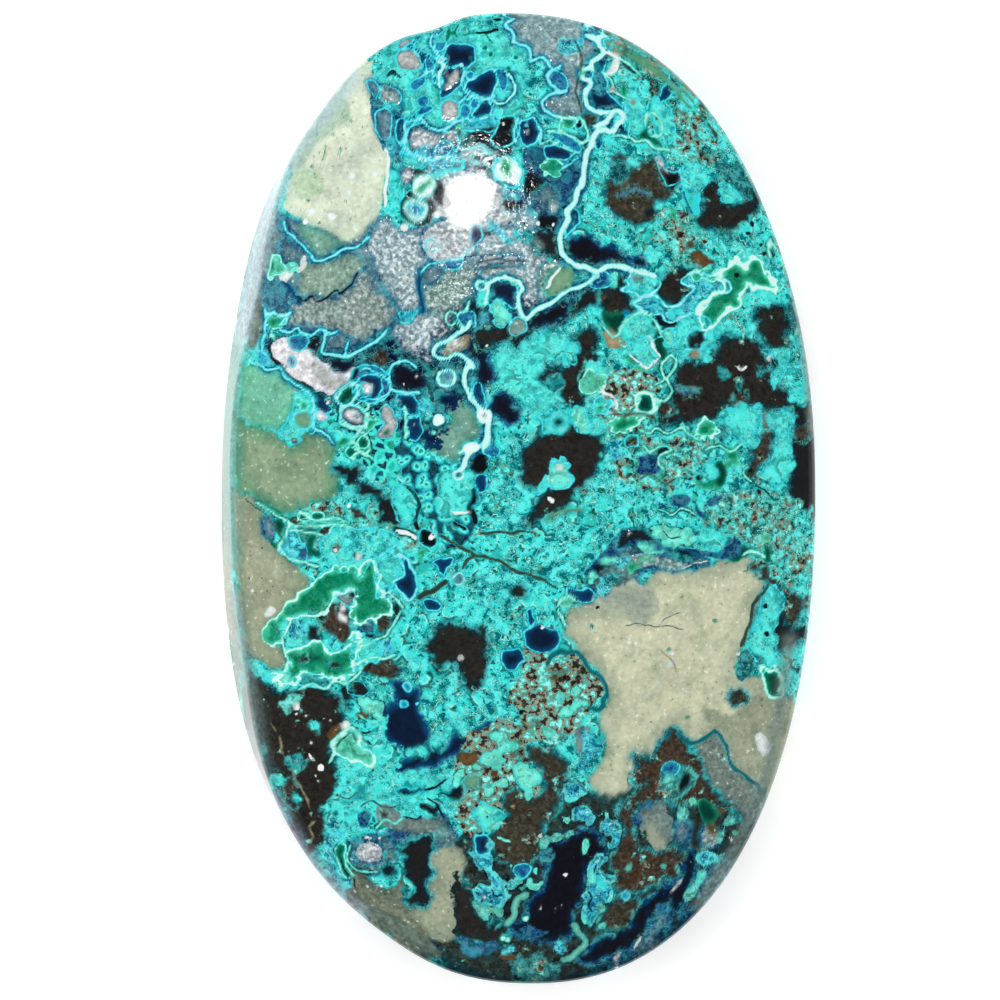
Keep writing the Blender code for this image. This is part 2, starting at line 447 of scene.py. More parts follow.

# %% [markdown]
# ## Kinds of marking
#
# Each kind of mineral gets a colour at its edge and one at its core, in the usual 0 to 255 sRGB numbers, and the
# distance in pixels over which the one turns into the other, because each patch grew in bands from its rim.
# The last four numbers say how much salt-and-pepper, mottling, painted glints and fine grain its surface shows;
# the glints are partly the quartz's own white grains.

# %% Table of kinds
KINDS = {
    # name: edge colour, core colour, band width, softness of the edge, (pepper, mottle, painted glints, grain)
    "shard": ((202, 226, 204), (232, 242, 224), 10, 1.6, (0, 0, 0, 0.35)),
    "sage": ((170, 200, 176), (194, 220, 198), 9, 1.6, (0, 0, 0, 0.4)),
    "celery": ((190, 218, 188), (200, 226, 196), 8, 2.5, (0, 0, 0, 0.4)),
    "fern": ((70, 156, 140), (134, 186, 172), 8, 2.0, (0, 0, 0, 0.6)),
    "lichen": ((96, 150, 142), (140, 172, 156), 8, 2.0, (0, 0, 0.15, 1)),
    "gravel": ((90, 135, 142), (146, 166, 160), 8, 2.0, (0.1, 0, 0.4, 1)),
    "slate": ((44, 104, 132), (104, 142, 152), 8, 2.0, (0, 0, 0.15, 1)),
    "steel": ((22, 78, 122), (62, 112, 146), 8, 2.5, (0, 0.2, 0, 0.8)),
    "stone_grey": ((95, 125, 126), (118, 136, 128), 8, 2.5, (0.15, 0, 0.1, 1)),
    "silver": ((124, 164, 176), (166, 196, 202), 8, 2.0, (0, 0, 0.8, 1)),
    "moss_quartz": ((100, 150, 148), (120, 164, 152), 10, 3.0, (0, 0, 0.5, 1)),
    "druzy": ((170, 185, 196), (215, 220, 224), 5, 1.5, (0, 0, 0.9, 1)),
    "snow": ((196, 202, 212), (248, 244, 248), 3, 1.3, (0, 0, 0.3, 1)),
    "chalk": ((190, 215, 208), (240, 243, 240), 3, 1.4, (0, 0, 0.2, 0.4)),
    "rose": ((190, 200, 190), (214, 206, 196), 5, 2.0, (0, 0, 0.6, 1)),
    "cloud": ((92, 146, 160), (136, 172, 180), 10, 2.5, (0, 0, 0.3, 1)),
    "cream": ((176, 188, 166), (216, 218, 190), 20, 1.8, (0, 0, 0, 0.35)),
    "oat": ((154, 166, 146), (168, 176, 154), 12, 3.0, (0, 0, 0, 0.45)),
    "olive": ((84, 156, 122), (152, 176, 146), 16, 2.0, (0, 0, 0, 0.4)),
    "khaki": ((140, 162, 136), (176, 182, 156), 14, 2.0, (0, 0, 0, 0.4)),
    "jade": ((86, 200, 166), (126, 206, 178), 9, 1.8, (0, 0, 0, 0.5)),
    "fog": ((22, 80, 112), (84, 124, 124), 9, 2.5, (0.08, 0.15, 0.1, 1)),
    "sand": ((86, 108, 98), (124, 132, 114), 14, 2.5, (0.05, 0, 0.05, 1)),
    "black": ((14, 40, 48), (33, 34, 36), 6, 4.0, (0.02, 0, 0, 0.6)),
    "soot": ((16, 48, 52), (42, 40, 37), 7, 4.2, (0.12, 0, 0, 1)),
    "peat": ((40, 48, 42), (58, 52, 36), 10, 6.0, (0.25, 0, 0.05, 1)),
    "bark": ((44, 42, 34), (64, 48, 32), 9, 5.0, (0.25, 0, 0.05, 1)),
    "rust": ((74, 64, 46), (104, 76, 44), 4, 3.0, (0.15, 0, 0, 0.8)),
    "tan": ((130, 125, 100), (168, 150, 118), 5, 3.0, (0.3, 0, 0, 0.8)),
    "pepper": ((56, 120, 118), (96, 128, 112), 12, 7.0, (1, 0.3, 0, 0.8)),
    "grit": ((42, 168, 158), (54, 154, 138), 10, 9.0, (0.46, 1, 0, 0.6)),
    "indigo": ((12, 66, 124), (16, 44, 98), 5, 2.5, (0, 0.2, 0, 0.6)),
    "navy": ((8, 72, 118), (16, 32, 56), 6, 1.6, (0, 0, 0, 0.4)),
    "ink": ((12, 40, 66), (22, 22, 31), 7, 4.0, (0.03, 0, 0, 0.5)),
    "deep": ((10, 60, 100), (8, 32, 68), 9, 6.0, (0.05, 0.35, 0, 1)),
    "stain": ((20, 110, 150), (8, 66, 112), 3, 3.5, (0, 0.35, 0, 0.8)),
    "gloom": ((16, 54, 62), (40, 42, 38), 10, 3.9, (0.15, 0.05, 0, 1)),
    "net": ((30, 196, 205), (34, 200, 205), 4, 3.0, (0, 0.1, 0, 0.5)),
    "comb": ((40, 205, 190), (44, 210, 190), 4, 3.0, (0, 0.1, 0, 0.5)),
    "bubbles": ((40, 205, 200), (50, 215, 205), 4, 3.0, (0, 0.1, 0, 0.5)),
    "beads": ((20, 70, 84), (26, 56, 62), 4, 3.9, (0, 0.1, 0, 0.7)),
    "pearl": ((90, 108, 122), (186, 190, 186), 2.5, 1.4, (0, 0, 0.2, 0.8)),
    "ice": ((110, 240, 232), (225, 255, 250), 3, 1.4, (0, 0, 0, 0.2)),
    "shadow": ((30, 140, 150), (14, 80, 92), 5, 5.0, (0.1, 0.5, 0, 0.6)),
    "verdigris": ((60, 170, 160), (70, 150, 128), 4, 4.0, (0.1, 0.5, 0, 0.6)),
    "blue": ((20, 120, 175), (12, 80, 140), 5, 1.8, (0, 0.2, 0, 0.5)),
    "sky": ((90, 205, 220), (36, 156, 200), 4, 1.8, (0, 0.6, 0, 0.5)),
    "lagoon": ((30, 150, 180), (40, 180, 205), 6, 4.0, (0.08, 0.8, 0, 0.5)),
    "teal": ((16, 112, 118), (12, 88, 98), 5, 2.5, (0.1, 0.4, 0, 0.5)),
    "turquoise": ((40, 205, 205), (80, 235, 225), 5, 3.0, (0, 0.6, 0, 0.2)),
    "water": ((60, 225, 220), (66, 226, 220), 5, 8.0, (0.05, 0.75, 0, 0.2)),
    "mint": ((84, 226, 204), (128, 242, 216), 4, 1.5, (0, 0.5, 0, 0.3)),
    "celadon": ((62, 160, 150), (112, 200, 178), 3, 1.6, (0, 0.6, 0, 0.5)),
    "reef": ((96, 216, 210), (24, 150, 192), 3.5, 1.6, (0, 0.8, 0, 0.4)),
    "tarn": ((30, 84, 92), (48, 108, 108), 5, 3.0, (0.3, 0.3, 0, 0.8)),
    "thicket": ((14, 54, 58), (34, 84, 62), 8, 3.0, (0.3, 0.35, 0, 0.9)),
    "haze": ((172, 182, 160), (156, 170, 156), 14, 8.0, (0, 0, 0, 0.6)),
    "frost": ((110, 246, 220), (110, 246, 220), 1, 1.2, (0, 0, 0, 0)),
    "pea": ((116, 222, 186), (70, 178, 138), 5, 1.8, (0, 0.35, 0, 0.5)),
    "emerald": ((66, 204, 158), (0, 128, 86), 4.0, 1.4, (0, 0.1, 0, 0.3)),
    "bottle": ((10, 130, 100), (8, 62, 52), 4, 2.0, (0, 0, 0, 0.4)),
    "vein": ((104, 240, 236), (104, 240, 236), 1, 1.4, (0, 0, 0, 0)),
    "thread": ((48, 222, 232), (48, 222, 232), 1, 1.4, (0, 0, 0, 0)),
    "crack": ((60, 100, 90), (46, 60, 52), 1.5, 1.5, (0.2, 0, 0, 0.2)),
    "milk": ((225, 240, 238), (250, 252, 250), 2, 1.4, (0, 0, 0, 0)),
    # Next four kinds only tint the rim: painted reflection, teal tint, painted grey shade, painted lilac reflection
    "mist": ((186, 214, 220), (190, 214, 220), 1, 2, (0, 0, 0, 0)),
    "tide": ((96, 156, 142), (96, 156, 142), 1, 2, (0, 0, 0, 0)),
    "dusk": ((112, 132, 128), (112, 132, 128), 1, 2, (0, 0, 0, 0)),
    "lilac": ((160, 165, 178), (160, 165, 178), 1, 2, (0, 0, 0, 0)),
    "night": ((10, 34, 46), (14, 22, 26), 2, 1.6, (0, 0, 0, 0.2)),
}
PATTERNS = {
    # name: how much it shows of (large net, fine net, bubbles, facets)
    "net": (1, 0, 0, 0), "comb": (0, 1, 0, 0), "bubbles": (0, 0, 1, 0), "beads": (0, 0, 1, 0),
}
FACETED = "shard sage celery fern lichen gravel slate steel stone_grey moss_quartz cloud cream oat olive khaki jade fog sand"
PATTERNS.update({kind: (0, 0, 0, 1) for kind in FACETED.split()})
print(len(KINDS), "kinds of marking")

# %% [markdown]
# ## The large areas
#
# Each marking is a kind and its outline, as x,y in the photograph's pixels. Only the corners that its shape needs
# are given, and a smooth curve runs through them. Later ones lie over earlier ones, as the minerals filled the
# gaps that older ones left.

# %% Areas, from the top of the stone down
AREAS = """
slate 270,214 296,222 340,240 384,214 402,240 400,330 360,346 300,330 262,316 236,340 238,280 262,240
deep 322,398 350,378 398,350 440,350 470,372 470,400 444,416 440,446 402,450 360,442 332,424
deep 268,335 300,330 345,350 388,330 412,350 445,362 466,362 460,395 432,398 450,425 405,450 372,440 330,425
 308,392 284,376 268,352
deep 525,150 545,145 592,135 588,165 570,215 556,258 530,235 505,205 508,190 522,180
deep 560,300 520,320 480,335 440,345 430,330 470,300 500,280 540,300 580,280 610,285 600,300
turquoise 380,70 404,44 440,34 480,30 512,34 526,60 524,96 520,118 500,165 480,172 440,168 420,178 396,170
 388,140 380,112 376,84
grit 612,60 650,62 690,88 715,130 700,165 668,160 640,130 622,96
shard 366,66 371,72 366,80 370,92 378,101 379,110 374,124 380,134 387,149 389,158 387,175 384,205 378,216
 362,235 348,241 340,238 318,228 300,219 286,214 283,205 284,194 288,184 292,176 290,168 296,151 306,134 318,117
 330,101 342,90 354,76
sage 330,103 344,100 350,108 349,120 336,127 322,140 312,152 304,163 296,170 291,166 297,152 306,136 318,119
celery 296,172 304,166 318,168 325,180 322,192 312,198 300,200 292,190
fern 300,222 318,229 338,239 350,243 340,247 328,254 318,257 311,251 304,240 298,230
slate 282,240 292,246 302,250 312,258 308,262 298,262 290,264 282,258 278,248
steel 258,278 270,276 284,282 294,292 298,300 294,308 282,310 268,308 256,300 252,292 255,284
sand 246,300 258,296 262,308 266,320 262,335 256,348 246,352 240,340
lichen 302,262 330,262 345,256 358,258 364,266 360,274 350,286 340,293 330,298 320,295 312,299 304,299 298,292
 300,278
gravel 296,300 336,297 350,288 362,272 371,278 374,288 388,298 388,306 394,308 392,318 380,330 362,342 346,351
 332,348 328,338 334,330 318,328 312,322 302,322 296,326 290,318
slate 328,338 340,332 352,338 362,338 350,350 336,350 328,347
silver 383,218 395,228 402,236 418,230 436,222 455,216 478,222 500,222 520,224 535,240 548,252 558,262 572,272
 570,285 560,290 545,302 530,318 522,312 516,300 514,285 500,276 487,282 476,288 472,296 470,305 462,312 448,322
 455,330 445,340 432,348 430,356 436,362 425,364 410,352 400,345 392,330 398,322 402,316 398,302 388,285 378,272
 376,258 368,246 372,236
moss_quartz 420,275 432,265 450,262 470,268 480,275 478,285 470,298 462,308 440,312 424,308 420,295
moss_quartz 548,262 575,272 572,284 556,296 545,300 538,286
cloud 512,12 508,22 512,28 516,36 514,41 522,44 530,47 531,58 541,58 548,62 556,64 562,70 566,82 564,92 556,93
 546,97 542,103 543,110 552,115 565,119 578,120 584,126 592,124 594,116 588,108 583,97 586,88 582,82 579,75
 580,68 590,66 589,58 596,53 600,46 595,40 587,34 583,26 560,16 535,12
ink 568,240 590,238 600,246 612,244 618,252 630,258 645,260 645,268 620,264 604,263 598,268 585,264 570,258
 562,250
black 480,327 500,322 530,322 560,316 575,300 590,290 606,286 600,300 575,312 560,325 545,328 530,335 515,345
 500,335 480,340
black 533,238 556,236 560,256 545,256
jade 241,368 252,366 262,370 274,373 280,370 284,378 294,384 304,390 298,400 290,412 282,424 276,431 262,428
 246,425 238,420 238,400
olive 236,424 250,426 264,430 278,434 288,442 296,446 302,436 314,433 326,437 334,444 333,458 336,470 334,490
 330,500 316,506 300,512 286,512 270,506 256,498 246,494 236,486
khaki 232,492 246,496 256,502 262,518 262,530 268,540 276,548 284,556 292,562 300,570 306,577 308,582 302,592
 296,600 288,607 280,614 274,622 268,630 266,638 270,643 276,645 282,652 286,660 284,666 276,669 268,668 258,662
 250,656 244,640 240,600 232,550
fern 442,396 450,392 460,396 466,404 474,410 478,420 482,430 480,438 470,440 462,446 464,456 452,462 440,458
 430,450 424,440 418,438 416,434 424,430 434,432 446,428 452,420 446,408 440,402
comb 318,384 336,392 350,400 366,404 384,412 396,424 404,446 402,470 384,478 360,462 340,446 322,432 308,412
bubbles 396,446 416,440 436,462 462,462 482,478 480,506 470,540 446,548 432,522 410,490
grit 300,508 330,502 352,512 380,500 404,520 430,540 420,556 380,560 340,556 300,548 284,530
navy 470,345 478,340 484,344 488,352 486,362 490,370 490,380 480,383 474,376 472,368 476,362 470,352
navy 486,404 494,400 502,396 508,400 512,408 518,412 514,420 510,425 504,420 498,418 490,412
navy 482,448 490,445 496,448 494,456 486,456 486,464 480,470 484,480 482,488 476,486 474,476 470,466 474,458
turquoise 500,352 520,345 545,335 560,330 572,345 548,366 540,378 548,388 560,398 545,420 520,400 500,390
 494,370
grit 606,372 634,370 660,384 656,398 656,440 700,430 714,450 700,480 660,490 620,480 600,440 588,410
soot 574,340 582,330 590,331 596,342 594,354 600,362 592,368 586,376 578,386 584,396 580,406 566,404 562,394
 548,386 540,376 548,368 560,366 570,358 576,350
soot 523,454 528,446 538,436 545,430 560,426 574,428 588,434 598,436 602,446 602,458 597,470 590,480 582,487
 574,490 568,500 562,510 552,513 540,523 530,526 524,522 532,508 540,498 548,492 540,486 528,486 523,478 521,466
pepper 606,372 620,374 634,370 650,372 660,384 656,396 644,398 634,404 632,414 620,416 612,408 602,404 600,394
 606,384
grit 604,300 622,278 630,310 640,330 630,350 606,340
peat 612,158 622,156 640,164 652,158 660,162 664,180 672,190 668,198 656,200 652,206 655,214 650,222 638,224
 626,220 614,214 608,208 604,200 605,190 610,180 612,170
grit 656,218 672,206 698,214 706,240 690,270 672,262 660,250 650,236
grit 664,80 690,110 716,135 720,165 700,168 684,140 664,110
soot 704,188 710,184 718,186 722,194 728,202 738,202 748,196 756,200 754,210 748,216 742,224 732,230 720,231
 706,230 698,224 700,214 704,204 706,196
soot 755,318 760,309 770,306 776,303 784,306 788,316 789,330 787,342 782,350 775,350 768,346 762,338 758,328
soot 672,388 676,378 675,366 684,362 700,362 712,358 718,352 722,340 730,335 742,338 752,340 760,342 764,352
 768,362 772,370 770,380 778,388 790,392 800,394 808,400 806,408 792,408 776,408 764,408 758,404 748,406 736,408
 726,404 720,410 716,418 704,418 690,420 672,424 660,424 655,416 662,410 668,402
peat 760,436 768,432 774,438 772,450 768,462 760,468 752,476 752,486 746,480 748,468 750,458 752,446
black 796,404 804,402 810,408 813,430 815,460 816,490 815,516 808,512 800,508 792,500 788,490 790,480 794,470
 796,458 793,446 795,432 797,418
cream 567,612 580,606 596,602 612,604 628,600 642,590 650,578 660,570 676,572 690,572 706,566 722,562 734,562
 744,558 756,560 762,566 764,576 768,582 764,590 757,598 754,610 752,622 746,632 742,645 738,656 735,668 735,676
 744,680 758,676 766,684 768,694 780,698 794,700 790,712 784,734 776,760 768,786 764,796 758,786 750,780 742,774
 734,768 730,758 727,748 720,742 716,734 712,730 704,736 696,744 690,744 684,738 678,732 672,730 666,734 662,738
 658,748 652,752 644,752 638,756 634,762 636,772 632,780 640,786 644,790 640,798 630,804 620,808 610,806 602,798
 594,790 590,782 592,774 598,768 602,758 606,746 604,736 600,726 602,714 608,704 609,692 604,682 600,672 592,664
 584,656 578,646 570,636 566,626
oat 700,706 722,712 732,714 742,706 752,698 768,696 794,702 786,740 766,796 752,782 734,768 727,748 716,734
 706,724
pepper 524,650 536,648 548,654 560,650 574,652 582,660 590,672 602,682 604,694 592,704 586,716 578,728 568,738
 556,744 544,738 530,744 520,736 524,722 516,706 508,700 514,688 522,678 522,664
soot 428,640 432,632 440,627 448,623 456,624 466,628 478,630 486,628 488,636 487,648 488,660 486,672 480,684
 472,690 466,690 462,682 460,672 456,664 450,662 446,668 440,672 436,664 430,656 426,648
grit 324,612 330,604 344,610 350,616 350,626 342,640 334,628 314,620
soot 249,676 258,678 266,682 272,688 284,692 296,692 300,684 308,681 318,684 326,692 334,696 342,698 345,704
 342,714 346,722 340,734 330,742 326,752 330,757 336,765 340,775 338,785 334,795 328,803 322,812 328,822 326,842
 316,846 312,858 298,836 284,806 270,774 258,736 246,704
water 340,750 380,720 400,775 430,800 440,810 420,816 390,826 380,812 356,830 336,846 326,826 322,812 338,785
fog 350,846 364,838 384,836 396,850 394,862 384,870 366,872 350,862
sand 344,872 360,870 370,880 384,888 396,884 400,878 406,884 408,896 414,906 426,908 436,904 442,896 446,886
 440,876 436,862 440,850 450,846 460,850 466,862 464,876 460,888 455,900 454,914 458,924 460,932 452,936 442,940
 438,948 440,958 430,958 410,950 390,938 370,922 356,906 344,890
fog 400,822 420,818 440,816 448,824 454,834 462,842 458,850 444,848 436,842 424,838 408,840 396,842 388,836
 394,828
black 668,732 672,730 678,732 682,738 686,745 692,751 698,757 703,765 704,774 708,784 712,790 720,798 726,804
 716,802 706,798 698,792 696,784 697,776 694,770 686,766 676,762 668,764 662,768 660,776 662,784 656,790 648,794
 640,800 630,804 620,806 624,802 634,797 642,790 644,786 638,784 632,778 634,770 640,764 634,762 636,757 644,758
 652,757 656,750 660,742 664,736
peat 748,566 764,558 788,560 788,580 770,586 758,572
grit 700,500 740,490 790,496 806,520 812,570 790,590 760,560 740,540 716,540 700,520
navy 392,684 398,680 405,683 408,692 418,688 419,704 421,716 425,724 428,734 432,744 440,746 447,742 452,734
 460,733 466,737 472,733 478,726 486,723 493,722 490,728 480,733 474,741 466,744 461,752 450,759 436,765 420,768
 406,772 396,770 395,765 404,760 408,757 398,748 390,742 384,734 382,722 384,710 388,704 396,704 394,696
gloom 452,846 470,826 500,790 560,776 600,796 628,790 660,776 696,776 744,806 764,836 752,876 706,920 650,958
 570,984 500,984 450,968 428,932 446,900
bark 618,808 630,804 642,796 652,784 660,776 690,764 706,780 716,796 734,806 728,812 706,802 690,806 668,800
 650,806 636,812 632,830 640,850 652,852 672,850 686,856 684,872 676,880 664,878 650,888 638,892 622,890 612,884
 616,872 610,862 616,850 624,834
peat 526,746 540,750 552,748 560,756 568,762 566,776 558,788 560,800 556,812 544,824 540,840 540,852 532,862
 520,866 506,862 492,850 486,838 498,830 504,812 502,800 508,790 522,790 530,798 540,796 546,784 540,768 530,758
peat 604,904 620,898 636,904 638,916 630,926 614,930 600,926
soot 455,878 462,884 470,890 474,900 478,914 486,922 496,924 506,930 504,940 494,944 480,942 468,938 458,936
 453,920
gloom 672,806 684,798 706,792 728,808 744,820 748,830 744,842 736,846 708,852 682,850 674,822
ink 541,858 548,846 560,838 575,836 588,830 600,838 604,850 598,858 590,862 586,874 584,886 582,896 576,908
 572,918 572,928 566,938 552,942 536,940 522,934 512,930 520,922 528,914 530,904 534,896 542,890 546,880 548,868
 545,862
ink 688,850 696,854 696,866 692,878 688,890 684,900 676,908 668,900 656,914 640,940 620,952 596,962 580,958
 592,946 616,932 630,926 640,910 652,896 664,888 680,880 686,868
stone_grey 692,744 700,742 706,736 712,731 718,737 724,744 729,755 736,767 744,775 753,782 759,790 763,800
 760,812 754,822 744,816 733,806 722,795 710,784 706,776 702,764 700,754
pepper 470,730 486,728 500,720 516,724 524,740 528,756 540,770 542,784 534,796 526,796 520,788 504,790 500,802
 502,816 496,828 484,836 472,838 462,828 456,812 452,800 456,790 462,776 456,768 460,752 462,740
oat 428,858 440,850 452,846 462,852 464,868 460,884 456,900 456,920 458,934 444,942 430,934 420,922 414,910
 426,904 432,898 426,890 426,884 432,878 430,866
bark 668,732 673,731 678,734 682,739 687,746 692,752 698,757 703,766 706,776 710,786 718,796 728,806 706,804
 690,802 660,800 640,804 618,808 624,802 634,797 642,790 645,785 638,784 632,777 634,769 641,763 634,761 637,756
 650,758 657,752 660,742 664,737
fog 590,580 600,568 612,556 622,549 636,547 650,551 668,554 690,557 706,560 690,566 664,566 646,568 638,576
 636,588 630,598 616,602 602,598 594,590
fog 590,580 600,568 612,556 622,549 636,547 650,551 668,554 690,557 706,560 690,566 664,566 646,568 638,576
 636,588 630,598 616,602 602,598 594,590
"""
